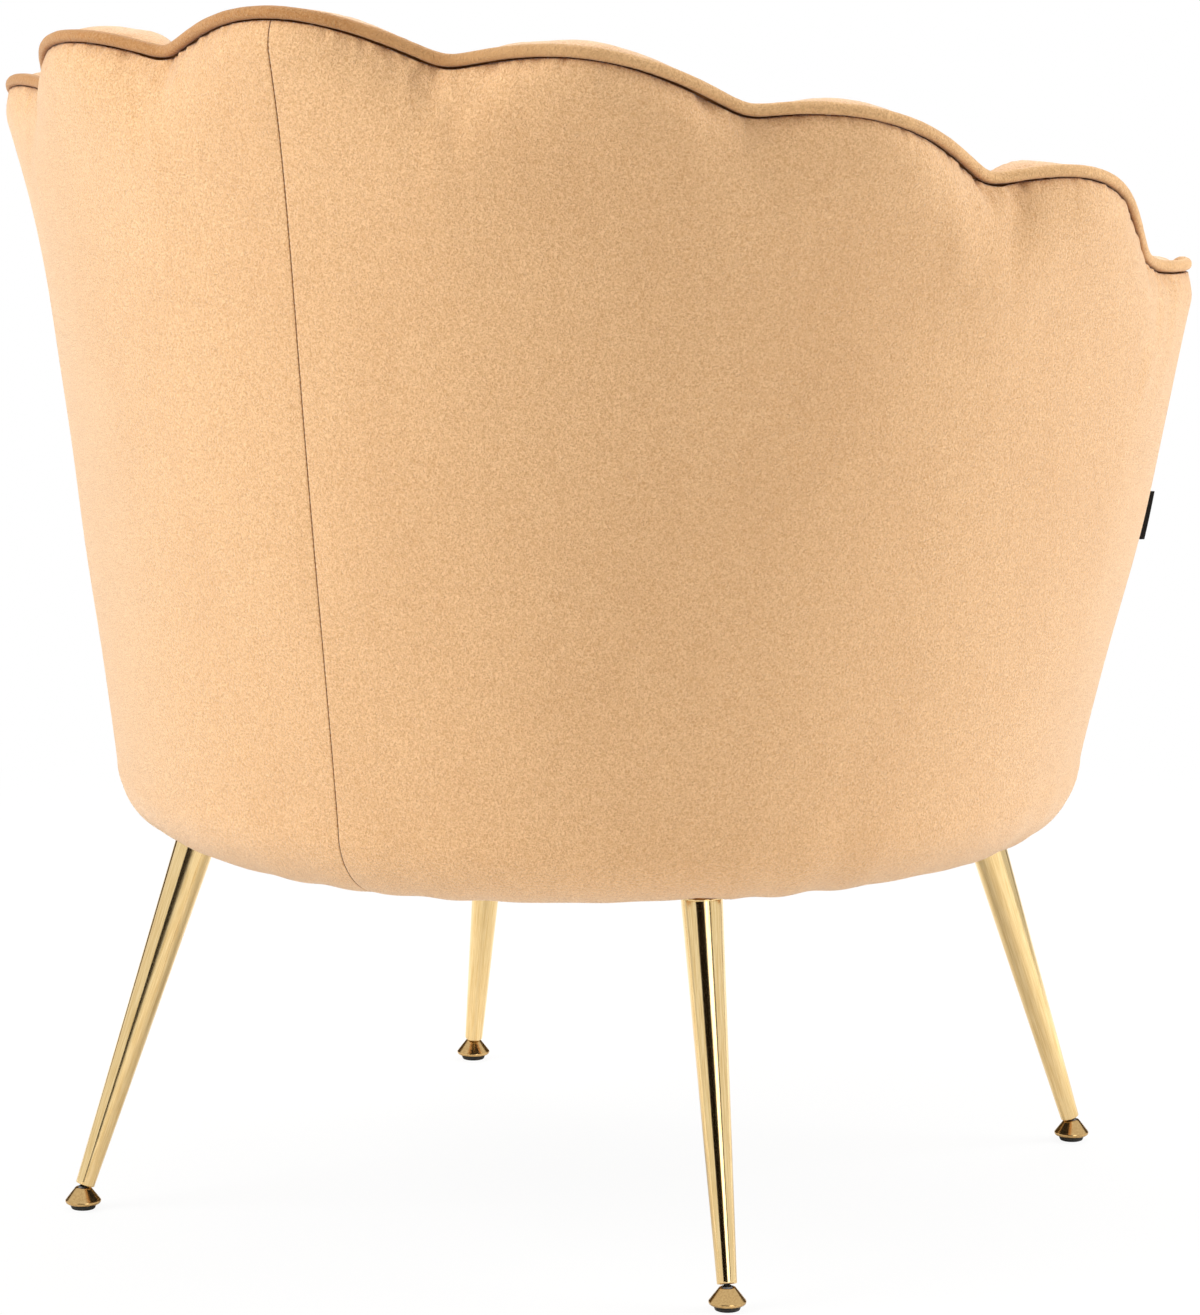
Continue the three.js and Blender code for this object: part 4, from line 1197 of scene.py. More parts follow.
@dataclass
class OuterCover:
    """The outer cover: two velvet panels over thin wadding, sewn down the middle of the back, rolled under the
    rim piping and the arm-front piping, and turned under the base."""

    form: ShellForm
    legs: LegLayout
    palette: Palette
    column_mm: float = 2.2
    row_mm: float = 4.0
    cloth: float = 2.4 * MM
    seam_roll: tuple[float, float] = (1.6 * MM, 0.8 * MM)
    rim_tuck: tuple[float, float] = (17 * MM, 6.6 * MM)
    front_roll: tuple[float, float] = (8 * MM, 5.6 * MM)
    hem_roll: float = 4.3 * MM
    stitch_pitch: float = 3.6 * MM
    stitch_depth: float = 0.5 * MM
    edge_columns_mm: tuple[float, ...] = (0.15, 0.6, 1.1, 1.7, 2.6, 4.0, 5.8)
    rim_rows_mm: tuple[float, ...] = (0, 0.7, 1.5, 2.4, 3.5, 4.8, 6.4, 8.4, 11, 14, 17.5, 21, 25, 29, 33, 37.5, 42,
                                      46.5, 51, 55.5, 60)
    middle_height: float = 450 * MM
    valley_width: float = 5.5  # degrees over which a valley of the rim gathers the cover
    gathers: Wrinkles = Wrinkles(wave_mm=7, depth_mm=0.42, fade_mm=8, seed=11)
    folds: Wrinkles = Wrinkles(wave_mm=20, depth_mm=1.0, fade_mm=40, seed=12)
    hem_waves: Wrinkles = Wrinkles(wave_mm=42, depth_mm=0.4, fade_mm=40, seed=13)

    @property
    def middle(self) -> Array:
        """A point inside the shell that the cover looks away from."""
        return np.array((0, self.form.centre_y, self.middle_height))

    def columns(self) -> Array:
        """Spaces the columns from the back seam to the arm front, closer together at both ends.

        Returns:
            Each column's u.
        """
        length = math.radians(self.form.front_at_rim) * self.form.rim_radius
        *fine, first = np.array(self.edge_columns_mm) * MM / length
        count = round(length / (self.column_mm * MM))
        return np.concatenate([fine, np.linspace(first, 1 - first, count), 1 - np.array(fine[::-1])])

    def surface(self, side: Side) -> Array:
        """Lays out one panel's outer face.

        Args:
            side: which panel.

        Returns:
            Its grid of points, from the hem to the rim and from the back seam to the arm front.
        """
        form, u = self.form, self.columns()
        rim, drops = form.rim(u), np.array(self.rim_rows_mm) * MM
        lower = rim - drops[-1]
        count = round((form.rim_peak - form.seam_height - drops[-1]) / (self.row_mm * MM))
        levels = [form.seam_height + (lower - form.seam_height) * t for t in np.linspace(0, 1, count)[1:-1]]
        levels += [rim - drop for drop in drops[::-1]]
        rows = [form.point(u, z, -form.bulge(u, z)) for z in levels]
        hem, under = form.hem(u, self.hem_roll), form.turned_under(u)
        grid = np.array(hem + under + rows)
        heights = np.array([*[np.full_like(u, -1.0)] * len(hem), *[row[:, 2] for row in under], *levels])
        grid = self.pulled(grid, heights, u, rim)
        if side is Side.RIGHT:
            grid[..., 0] *= -1
        return grid

    def tucked(self, depth: Array) -> Array:
        """How far the cover turns in towards the piping, at a depth below the rim."""
        reach, tuck = self.rim_tuck
        return tuck * np.clip(1 - depth / reach, 0, 1) ** 1.5

    def pulled(self, grid: Array, heights: Array, u: Array, rim: Array) -> Array:
        """Adds what the cloth does: rolled edges, small pulls at the piping, and a slight unevenness.

        Args:
            grid: the smooth outer face.
            heights: the height of each of its points, or -1 on the hem.
            u: where each column lies.
            rim: the rim's height at each column.

        Returns:
            The moved points.
        """
        form, on_hem = self.form, heights < 0
        normal = grid_normals(grid, self.middle)
        arc = np.abs(u) * math.radians(form.front_at_rim) * form.rim_radius
        slope = np.gradient(rim, arc)
        depth = np.maximum(rim - heights, 0) / np.sqrt(1 + slope ** 2)
        depth = np.where(on_hem, 1.0, depth)
        scale = np.where(on_hem, form.seam_radius / form.rim_radius, 1.0)
        to_front, to_seam = (arc[-1] - arc) * scale, arc * scale
        inset = np.maximum(self.tucked(depth), edge_roll(to_front, *self.front_roll))
        inset = inset + edge_roll(to_seam, *self.seam_roll)
        valley = sum(np.exp(-((form.rim_angle(u) - angle) / self.valley_width) ** 2) for angle in form.valleys)
        gather = self.gathers.relief(drawn_out(arc, heights, 0.35), depth) * (1 + valley)
        fold = self.folds.relief(drawn_out(arc, heights, 0.25), depth) * (0.2 + 0.9 * valley)
        to_foot = np.where(on_hem, 0, np.maximum(heights - form.underside, 0))
        hem = self.hem_waves.relief(drawn_out(arc, heights, 0.2), to_foot)
        broad = ripple(grid, 150, 14) * 0.6 * MM
        quiet = eased(depth, 8) * eased(to_front, 8) * eased(to_seam, 12)
        relief = (broad + hem) * quiet + (gather + fold) * eased(to_seam, 6)
        return self.legs.clear(grid + normal * (relief - inset)[..., None])

    def build_panel(self, side: Side) -> None:
        """Makes one panel as a closed sheet with its thickness.

        Args:
            side: which panel.
        """
        piece = cover_sheet(f"outer_cover_{side.word}", self.surface(side), self.middle, self.cloth,
                            self.palette.velvet)
        place(piece, Body.CHAIR, Slot.VELVET, f"outer_panel_{side.word}")

    def build_stitches(self) -> None:
        """Makes the row of stitches that shows in the seam down the back."""
        form, middle = self.form, np.zeros(4)
        rim = float(form.rim(np.array(0.0)))
        count = int((rim - 4 * MM - form.seam_height) / self.stitch_pitch)
        half, thickness, sides = 0.3 * self.stitch_pitch, 0.45 * MM, 6
        turn = 2 * math.pi * np.arange(sides) / sides
        ring = np.stack([np.cos(turn), np.sin(turn), np.zeros(sides)], axis=1) * thickness
        sizes = np.array((0.3, 1.0, 1.0, 0.3))[:, None, None]
        stitches = []
        for i in range(count):
            z = form.seam_height + (i + 0.5) * self.stitch_pitch + half * np.array((-1.0, -0.6, 0.6, 1.0))
            inset = self.tucked(rim - z) + self.stitch_depth
            centres = form.point(middle, z, inset - form.bulge(middle, z))
            stitches.append(loft(f"stitch_{i}", centres[:, None] + ring * sizes, self.palette.thread))
        place(joined("back_seam_stitches", stitches), Body.CHAIR, Slot.VELVET)

    def build(self) -> None:
        """Makes both panels and the stitches."""
        for side in Side:
            self.build_panel(side)
        self.build_stitches()


@dataclass
class RimPiping:
    """A cord in bias-cut velvet along the whole rim, down both arm fronts and under the base."""

    form: ShellForm
    palette: Palette
    cord: float = 3.9 * MM
    gap: float = 1.3 * MM
    sink: float = 7 * MM  # from the cover's face to the cord's middle, along the rim
    front_sink: float = 6.3 * MM  # the same down the arm fronts
    under_sink: float = 3.6 * MM  # and under the base
    flange: float = 8 * MM
    flange_depth: float = 2.6 * MM  # the strip lies this far behind the cord's middle
    turn_down: float = 90 * MM  # over which the cord comes up to the arm front's sink
    hem_share: float = 0.86  # how far round the turn under the base the cord runs
    step: float = 1.8 * MM
    sides: int = 14

    def half_path(self) -> tuple[Array, Array]:
        """Lays the cord's centre line over one side.

        Returns:
            Its points from the middle of the back to the hem, and the direction away from the chair's middle.
        """
        form = self.form
        angles = np.arange(0, form.front_at_rim, 0.2)
        u = angles / form.front_at_rim
        edge = np.stack([np.radians(angles) * form.rim_radius, form.rim(u)], axis=1)
        down = np.linspace(form.rim(np.array(1.0)), form.seam_height, 150)
        front = np.stack([np.radians(form.front_angle(down)) * form.rim_radius, down], axis=1)
        rim_run = len(resample(edge, self.step)) * self.step
        line = resample(np.concatenate([edge, front]), self.step)
        line = np.stack([blur(line[:, axis], 2.2) for axis in (0, 1)], axis=1)
        line[0, 0] = 0.0
        along = unit(np.gradient(line, axis=0))
        along[0] = (1.0, 0.0)
        offset = line + np.stack([-along[:, 1], along[:, 0]], axis=1) * (self.cord + self.gap)
        edge_z = line[:, 1]
        u = np.clip(np.degrees(line[:, 0] / form.rim_radius) / form.front_angle(edge_z), 0, 1)
        turned_down = smoothstep(np.arange(len(line)) * self.step, rim_run - self.turn_down, rim_run)
        sink = self.sink + (self.front_sink - self.sink) * turned_down
        radius = form.radius(u, edge_z) + form.bulge(u, edge_z) - sink
        angle = np.degrees(offset[:, 0] / form.rim_radius)
        path = form.polar(angle, radius, offset[:, 1], form.side_share(u, edge_z))
        turns = np.linspace(0, self.hem_share, 60)[1:]
        phase = turns * math.pi / 2
        sink = self.front_sink + (self.under_sink - self.front_sink) * turns
        under_r = form.seam_radius - sink - form.undercut * (1 - np.cos(phase))
        under_z = form.seam_height + (form.underside + sink - form.seam_height) * np.sin(phase)
        under_a = form.front_at_seam + np.degrees((self.cord + self.gap) / under_r)
        path = np.concatenate([path, form.polar(under_a, under_r, under_z, 0.0)])
        path = np.stack([blur(path[:, axis], 1.5) for axis in range(3)], axis=1)
        path[0, 0] = 0.0
        path = resample(path, self.step)
        outwards = path - np.array((0, form.centre_y, 0))
        outwards[:, 2] = 0
        return path, unit(outwards)

    def build(self) -> None:
        """Makes the cord as one sweep."""
        path, outwards = self.half_path()
        flip = np.array((-1, 1, 1))
        full = np.concatenate([path[:0:-1] * flip, path])
        directions = np.concatenate([outwards[:0:-1] * flip, outwards])
        radius = self.cord * (1 + 0.012 * ripple(full, 22, 21) + 0.008 * ripple(full, 6, 22))
        piece = sweep("rim_piping_cord", full, radius, directions, self.sides, False, self.palette.cord)
        join(piece, [self.build_flange(full, directions)])
        place(piece, Body.CHAIR, Slot.PIPING, "rim_piping")

    def build_flange(self, path: Array, outwards: Array) -> Piece:
        """Makes the piping's seam allowance, the flat strip by which it is sewn in behind the cover's edge.

        Args:
            path: the cord's centre line.
            outwards: the direction away from the chair's middle along it.

        Returns:
            The strip, to join to the cord.
        """
        tangent = unit(np.gradient(path, axis=0))
        across = unit(outwards - tangent * np.sum(outwards * tangent, axis=1, keepdims=True))
        inward = np.cross(across, tangent)
        half, back = 0.5 * MM, self.flange_depth
        corners = ((0.0, -half), (0.0, half), (self.flange, half), (self.flange, -half))
        grid = np.stack([path + inward * reach + across * (side - back) for reach, side in corners], axis=1)
        # its dark colour is painted shade for the crease between the cord and the cover
        return loft("flange", grid, self.palette.backing)


def resample(line: Array, step: float) -> Array:
    """Spaces a polyline's points evenly.

    Args:
        line: points, one to a row.
        step: about how far apart the new ones are.

    Returns:
        The new points, with the same ends.
    """
    lengths = np.concatenate([[0], np.cumsum(np.linalg.norm(np.diff(line, axis=0), axis=1))])
    places = np.linspace(0, lengths[-1], max(2, round(lengths[-1] / step) + 1))
    return np.stack([np.interp(places, lengths, line[:, axis]) for axis in range(line.shape[1])], axis=1)


@dataclass
class FrontBorder:
    """The cover below the seat cushion, between the arm fronts, from the hem up over the front rail."""

    form: ShellForm
    legs: LegLayout
    palette: Palette
    deck_height: float = 342 * MM
    lip: float = 56 * MM
    edge: float = 12 * MM
    cloth: float = 2.4 * MM
    hem_roll: float = 4.3 * MM
    roll: tuple[float, float] = (5 * MM, 3.6 * MM)
    end_gap: float = 8.6 * MM
    middle_height: float = 300 * MM
    columns: int = 170
    waves: float = 0.7 * MM

    def build(self) -> None:
        """Makes the border as a closed sheet."""
        form = self.form
        inner = form.seam_radius - form.undercut
        end = math.degrees(self.end_gap / inner) / (180 - form.front_at_seam)
        u = np.linspace(1 + end, 3 - end, self.columns)
        close = np.array([0.002, 0.005])  # columns close to both ends, for their rolled edges
        u = np.sort(np.concatenate([u, u[0] + close, u[-1] - close]))
        rows = form.hem(u, self.hem_roll) + form.turned_under(u)
        low = self.deck_height - self.edge
        rows += [form.point(u, np.full_like(u, z), 0.0) for z in np.linspace(form.seam_height, low, 12)[1:]]
        for turn in np.linspace(0, math.pi / 2, 10)[1:]:
            z = low + self.edge * math.sin(turn)
            rows.append(form.point(u, np.full_like(u, z), self.edge * (1 - math.cos(turn))))
        rows += [form.point(u, np.full_like(u, self.deck_height), inset)
                 for inset in np.linspace(self.edge, self.lip, 12)[1:]]
        grid = np.array(rows)
        middle = np.array((0, form.centre_y, self.middle_height))
        normal = grid_normals(grid, middle)
        arc = (u - u[0]) * math.radians(180 - form.front_at_seam) * form.seam_radius
        to_end = np.minimum(arc, arc[-1] - arc)
        relief = ripple(grid, 60, 31) * self.waves * eased(to_end, 15)
        grid = self.legs.clear(grid + normal * (relief - edge_roll(to_end, *self.roll))[..., None])
        piece = cover_sheet("front_border_cover", grid, middle, self.cloth, self.palette.velvet)
        place(piece, Body.CHAIR, Slot.VELVET, "front_border")


@dataclass(frozen=True)
class Lobe:
    """The stretch of the shell that one pad fills, between two values of u."""

    number: int
    low: float
    high: float
    last: bool  # whether its upper side is the free end at the arm front


@dataclass
class ChannelPads:
    """The nine foam channels that line the tub.

    Each is a lobe of foam in velvet, sewn down between its neighbours, and rolls over the rim to the piping.
    """

    form: ShellForm
    palette: Palette
    board_inset: float = 34.4 * MM  # from the smooth shell to the shell board's inner face
    post_inset: float = 10.2 * MM  # and to a pad's back above the rail and past the frame's end
    valley_foam: float = 8 * MM
    seat_foam: float = 43 * MM
    rim_foam: float = 27 * MM
    rail_drop: float = 44 * MM  # from the rim to the ledge that the upper rail makes
    bottom: float = 293.1 * MM
    roll: float = 34 * MM  # how far a crest comes down as it turns from the rim to the face
    dip: float = 5 * MM  # how much lower the valleys pass behind the cord
    crests: tuple[float, ...] = (-1 * MM, 4 * MM, 5 * MM, 4 * MM, 2 * MM)  # how far each stands above the cord
    step_down: float = 3.4 * MM  # how much lower it starts behind the cord
    cord_height: float = 7.9 * MM
    cord_room: float = 11.5 * MM
    seam_depth: float = 10 * MM  # below the rim, where the piping's strip hangs
    end_thickness: float = 16 * MM
    frame_end: float = (124 - 6.2740) / 124  # the u at which the frame ends and the last pad wraps round it
    side_gap: float = 0.35 * MM
    sections: int = 26
    filling: Filling = field(default_factory=lambda: Filling(voxel_mm=4.5, cap_mm=5.0, pressure=3.0, spare=0.012))

    def face(self, u: Array, z: float, crown: float, end: float) -> float:
        """Finds how far the foam's face lies inside the smooth shell.

        Args:
            u: where it lies round the shell.
            z: its height.
            crown: 0 in a valley and 1 on the crest.
            end: 0, or up to 1 at the arm front.

        Returns:
            The inset.
        """
        share = float(self.form.side_share(u, z))
        crest = self.board_inset + self.seat_foam + (self.rim_foam - self.seat_foam) * share
        valley = self.board_inset + self.valley_foam
        foam = valley + (crest - valley) * crown
        return foam + (self.post_inset + self.end_thickness - foam) * end

    def section(self, u: float, rise: float, crown: float, end: float, wraps: bool) -> Array:
        """Draws one upright section of a pad.

        Args:
            u: where it lies round the shell.
            rise: how far the pad's crest stands above the cord.
            crown: 0 in a valley and 1 on the crest.
            end: 0, or up to 1 where the last pad rounds off at the arm front.
            wraps: whether the pad reaches back past the end of the frame.

        Returns:
            A closed loop of points.
        """
        form, place_u = self.form, np.array(u)
        rim = float(form.rim(place_u))
        back = self.post_inset if wraps else self.board_inset
        ledge = float(form.look_up("base", np.abs(place_u) * form.front_at_rim)) - self.rail_drop + 0.6 * MM
        cord_side = self.cord_room - float(form.bulge(place_u, np.array(rim)))
        top = rim + self.cord_height - (self.dip + (0.3 * MM - self.dip) * crown)
        front = self.face(place_u, rim, crown, end)
        corner, low_seam = rim + 0.6 * MM, rim - self.seam_depth
        strip_side = max(self.post_inset, cord_side)
        line = [(z, back) for z in np.linspace(self.bottom, ledge, 24)]
        line += [(ledge + 0.5 * MM, self.post_inset), (low_seam, self.post_inset), (low_seam, strip_side),
                 (corner, strip_side), (corner, cord_side), (corner + 0.2 * MM, cord_side)]
        for t in np.linspace(0.08, 1, 16):
            phase = t * math.pi / 2
            across = cord_side + (front - cord_side) * (1 - math.cos(phase)) ** 0.75
            swell = rise * crown * math.sin(math.pi * min(t / 0.9, 1)) - self.step_down * max(1 - t / 0.35, 0) ** 2
            height = top + swell - self.roll * 0.42 * (1 - math.cos(phase)) ** 2.6
            height -= self.roll * 0.58 * max(t - 0.62, 0) / 0.38
            line.append((max(height, corner + 0.3 * MM) if t < 0.5 else height, across))
        levels = np.linspace(line[-1][0], self.bottom + 6 * MM, 60)[1:]
        line += [(z, self.face(place_u, z, crown, end)) for z in levels]
        line.append((self.bottom, self.face(place_u, self.bottom, crown, end) - 5 * MM))
        z, inset = np.array(line).T
        return form.point(np.full_like(z, u), z, inset)

    def build_pad(self, number: int) -> Piece:
        """Makes one pad of the left half, or the middle one.

        Args:
            number: 0 for the middle of the back, up to 4 at the arm front.

        Returns:
            The piece, before it is declared.
        """
        form = self.form
        edges = [*form.valleys, form.front_at_rim]
        low = (-edges[0] if number == 0 else edges[number - 1]) / form.front_at_rim
        high = edges[number] / form.front_at_rim
        gap = math.degrees(self.side_gap / form.rim_radius) / form.front_at_rim
        last = number == len(edges) - 1
        lobe = Lobe(number, low, high, last)
        shares = 0.5 - 0.5 * np.cos(np.linspace(0, math.pi, self.sections))
        stations = low + gap + (high - low - (gap if last else 2 * gap)) * shares
        sections = []
        for u in stations:
            t = min(max((u - low) / (high - low), 0), 1)
            end = 1 - math.sqrt(1 - min(max((t - 0.45) / 0.55, 0), 1) ** 2) if last else 0.0
            crown = 1.0 if last and t > 0.5 else math.sin(math.pi * t) ** 0.6
            sections.append(self.section(u, self.crests[number], crown, end, bool(u > self.frame_end + gap)))
        name = "channel_pad_centre" if number == 0 else f"channel_pad_left_{number}"
        piece = loft(f"{name}_velvet", np.array(sections), self.palette.velvet)
        self.filling.swell(piece, lambda points: self.hold(points, lobe))
        self.pucker(piece, lobe)
        return piece

    def where(self, points: Array) -> tuple[Array, Array, Array]:
        """Finds where points lie on the shell.

        Args:
            points: the points.

        Returns:
            Each point's u, how far it lies inside the smooth shell, and its height.
        """
        form = self.form
        x, y, z = points.T
        share = form.side_share(np.full_like(z, 0.3), z)
        angle = np.degrees(np.arctan2(x, y - form.centre_y - form.rim_set_back * share))
        u = angle / form.front_angle(z)
        radius = np.hypot(x, y - form.centre_y - form.rim_set_back * share)
        return u, form.radius(np.clip(u, -1, 1), z) - radius, z

    def to_sides(self, points: Array, lobe: Lobe) -> Array:
        """Finds points' distances from a pad's sewn sides.

        Args:
            points: the points.
            lobe: the pad's stretch.

        Returns:
            The distance to the nearer side.
        """
        form = self.form
        u, _, z = self.where(points)
        arc = np.radians(form.front_angle(z)) * (form.radius(np.clip(u, -1, 1), z) - self.board_inset)
        to_high = np.full_like(u, 1.0) if lobe.last else (lobe.high - u) * arc
        return np.minimum((u - lobe.low) * arc, to_high)

    def hold(self, points: Array, lobe: Lobe) -> Array:
        """Holds a pad where it is sewn or rests: its sides, back, bottom and the edge at the cord.

        Args:
            points: the pad's vertices.
            lobe: its stretch.

        Returns:
            1 for each vertex that is held, and 0 for the others.
        """
        u, inset, z = self.where(points)
        side = self.to_sides(points, lobe) < 5 * MM
        back = inset < self.board_inset + 3 * MM
        cord = z > self.form.rim(np.clip(u, -1, 1)) - 2 * MM
        seat = z < self.bottom + 8 * MM
        return (side | (back & ~cord) | seat | (cord & (inset < self.cord_room + 9 * MM))).astype(float)

    def pucker(self, piece: Piece, lobe: Lobe) -> None:
        """Adds the small gathers along a pad's seams and a slight unevenness over its face.

        Args:
            piece: the pad.
            lobe: its stretch.
        """
        points, normals = vertices(piece), vertex_normals(piece)
        distance = np.maximum(self.to_sides(points, lobe), 0)
        u, inset, z = self.where(points)
        front = (inset > self.board_inset + 4 * MM) | (z > self.form.rim(np.clip(u, -1, 1)))
        gathers = Wrinkles(wave_mm=15, depth_mm=0.9, fade_mm=14, seed=41 + lobe.number)
        gather = gathers.relief(np.stack([distance * 0.25, z], axis=1), distance) * eased(distance, 4)
        broad = ripple(points, 70, 51 + lobe.number) * 0.6 * MM * eased(distance, 20)
        set_vertices(piece, points + normals * ((gather + broad) * front)[:, None])

    def build(self) -> None:
        """Makes the nine pads; the right ones mirror the left."""
        for number in range(len(self.form.valleys) + 1):
            piece = self.build_pad(number)
            pads = [piece] if number == 0 else [piece, mirrored(piece, f"channel_pad_right_{number}_velvet")]
            for pad in pads:
                place(pad, Body.CHAIR, Slot.VELVET, pad.name.removesuffix("_velvet"))


def mirrored(piece: Piece, name: str) -> Piece:
    """Copies a piece to the other side of the chair.

    Args:
        piece: the left piece.
        name: the right one's name.

    Returns:
        The right piece.
    """
    other = piece.copy()
    other.data = piece.data.copy()
    other.name = other.data.name = name
    bpy.context.scene.collection.objects.link(other)
    points = vertices(other)
    points[:, 0] *= -1
    set_vertices(other, points)
    other.data.flip_normals()
    return other


class Welt(StrEnum):
    """The two welts of the cushion; each value is its word in node names."""

    UPPER = "upper"
    LOWER = "lower"


@dataclass
class Seat:
    """The foam deck, and on it the loose boxed cushion with a welt sewn into its upper and lower seam."""

    form: ShellForm
    palette: Palette
    deck_bottom: float = 293.1 * MM
    deck_height: float = 342 * MM
    deck_edge: float = 9 * MM
    seat_height: float = 446 * MM
    welt: float = 4 * MM
    room: float = 4 * MM  # the cushion's cover starts this much smaller than its space and swells into it
    blend: tuple[float, float] = (106, 150)  # the angles between which the plan reaches forward
    gathers: Wrinkles = Wrinkles(wave_mm=17, depth_mm=0.9, fade_mm=16, seed=61)
    filling: Filling = field(default_factory=lambda: Filling(voxel_mm=6.0, cap_mm=8.0, pressure=4.0, spare=0.02))
    radius: dict[Welt, float] = field(init=False, default_factory=dict)
    seam: dict[Welt, float] = field(init=False, default_factory=dict)
    front: float = field(init=False)
    deck_side: float = field(init=False)
    deck_front: float = field(init=False)

    def __post_init__(self) -> None:
        """Takes the cushion's and the deck's reach from the CAD nodes."""
        for welt in Welt:
            low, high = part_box(f"cushion_welt_{welt}")
            self.radius[welt], self.seam[welt] = (high.x - low.x) / 2 - self.welt, (low.z + high.z) / 2
        self.front = self.form.centre_y - low.y - self.welt
        low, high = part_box("seat_deck")
        self.deck_side, self.deck_front = (high.x - low.x) / 2, self.form.centre_y - low.y

    def loop(self, side: float, front: float, z: float, scale: float = 1.0, count: int = 240) -> Array:
        """Draws the plan: round at the back and sides, and further out at the front.

        Args:
            side: the radius at the back and sides.
            front: the radius at the front.
            z: its height.
            scale: a scale about the middle.
            count: the number of points.

        Returns:
            The closed loop.
        """
        angle = np.linspace(-180, 180, count, endpoint=False)
        radius = self.plan_radius(angle, side, front)
        return self.form.polar(angle, radius * scale, np.full(count, z), 0.0)

    def plan_radius(self, angle: Array, side: float, front: float) -> Array:
        """Finds the plan's radius at angles between the one at the sides and the one at the front."""
        return side + (front - side) * smoothstep(np.abs(angle), *self.blend)

    def build_cushion(self) -> None:
        """Makes the cushion: a crowned top, a boxing that pulls in between its seams, and a flatter underside."""
        front, inner = self.front, self.welt
        (upper, top), (lower, bottom) = [(self.seam[welt], self.radius[welt]) for welt in Welt]
        rows = [self.loop(bottom, front, self.deck_height + 2 * MM, scale) for scale in (0.15, 0.35, 0.55, 0.75, 0.9)]
        rows.append(self.loop(bottom - 2 * inner, front - 2 * inner, lower - 6 * MM))
        for t in np.linspace(0, 1, 12):
            side = bottom + (top - bottom) * t
            draw = inner + self.room * math.sin(math.pi * t)
            rows.append(self.loop(side - draw, front - draw, lower + (upper - lower) * t))
        for scale in (0.975, 0.93, 0.86, 0.75, 0.6, 0.45, 0.3, 0.15):
            z = upper + 3 * MM + (self.seat_height - self.room - upper - 3 * MM) * (1 - scale ** 3) ** 0.8
            rows.append(self.loop(top, front, z, scale))
        piece = loft("seat_cushion_velvet", np.array(rows), self.palette.velvet)
        self.filling.swell(piece, self.hold)
        self.sew(piece)
        place(piece, Body.CUSHION, Slot.VELVET, "seat_cushion")

    def from_seams(self, points: Array) -> tuple[Array, Array]:
        """Finds how points lie to the welts.

        Args:
            points: the points.

        Returns:
            Each point's distance from the nearer welt's centre line, and its angle round the plan.
        """
        x, y, z = points.T
        y = y - self.form.centre_y
        angle, radius = np.degrees(np.arctan2(x, y)), np.hypot(x, y)
        upper, lower = [np.hypot(radius - self.plan_radius(angle, self.radius[welt], self.front), z - self.seam[welt])
                        for welt in Welt]
        return np.minimum(upper, lower), angle

    def hold(self, points: Array) -> Array:
        """Holds the cushion at its seams and where it rests on the deck."""
        distance, _ = self.from_seams(points)
        return ((distance < 9 * MM) | (points[:, 2] < self.deck_height + 3.5 * MM)).astype(float)

    def sew(self, piece: Piece) -> None:
        """Draws the cover in at its seams, with the gathers that the stitching leaves.

        Args:
            piece: the cushion.
        """
        points, normals = vertices(piece), vertex_normals(piece)
        distance, angle = self.from_seams(points)
        groove = -3.4 * MM * np.exp(-((distance / (5.5 * MM)) ** 2))
        arc = np.radians(angle) * self.radius[Welt.UPPER]
        gather = self.gathers.relief(drawn_out(arc, distance, 0.3), distance) * eased(distance, 6)
        broad = ripple(points, 110, 62) * 0.9 * MM * eased(distance, 40)
        on_deck = points[:, 2] < self.deck_height + 4 * MM
        moved = points + normals * (groove + gather + np.where(on_deck, 0, broad))[:, None]
        moved[:, 2] = np.maximum(moved[:, 2], self.deck_height + 0.4 * MM)
        set_vertices(piece, moved)

    def build_welt(self, welt: Welt) -> None:
        """Makes one welt.

        Args:
            welt: which.
        """
        upper = welt is Welt.UPPER
        path = self.loop(self.radius[welt], self.front, self.seam[welt], count=720)
        path[:, 2] += ripple(path, 60, 63 + upper) * 0.35 * MM
        outwards = path - np.array((0, self.form.centre_y, 0))
        outwards[:, 2] = 0
        radius = self.welt * (1 + 0.015 * ripple(path, 18, 65 + upper))
        node = f"cushion_welt_{welt}"
        piece = sweep(f"{node}_cord", path, radius, unit(outwards), 12, True, self.palette.cord)
        place(piece, Body.CUSHION, Slot.PIPING, node)

    def build_deck(self) -> None:
        """Makes the deck: a firm foam slab in velvet with rounded edges."""
        edge, side, front = self.deck_edge, self.deck_side, self.deck_front
        low = self.deck_height - edge
        rows = [self.loop(side, front, self.deck_bottom, scale) for scale in (0.2, 0.6)]
        rows += [self.loop(side, front, z) for z in np.linspace(self.deck_bottom, low, 8)]
        for turn in np.linspace(0, math.pi / 2, 7)[1:]:
            cut = edge * (1 - math.cos(turn))
            rows.append(self.loop(side - cut, front - cut, low + edge * math.sin(turn)))
        rows += [self.loop(side - edge, front - edge, self.deck_height, scale)
                 for scale in np.linspace(0.95, 0.05, 20)]
        grid = np.array(rows)
        relief = ripple(grid, 80, 71) * 0.5 * MM * (grid[..., 2] > self.deck_height - 1 * MM)
        grid[..., 2] -= np.abs(relief)
        piece = loft("seat_deck_velvet", grid, self.palette.velvet)
        place(piece, Body.CHAIR, Slot.VELVET, "seat_deck")

    def build(self) -> None:
        """Makes the deck, the cushion and its two welts."""
        self.build_deck()
        self.build_cushion()
        for welt in Welt:
            self.build_welt(welt)


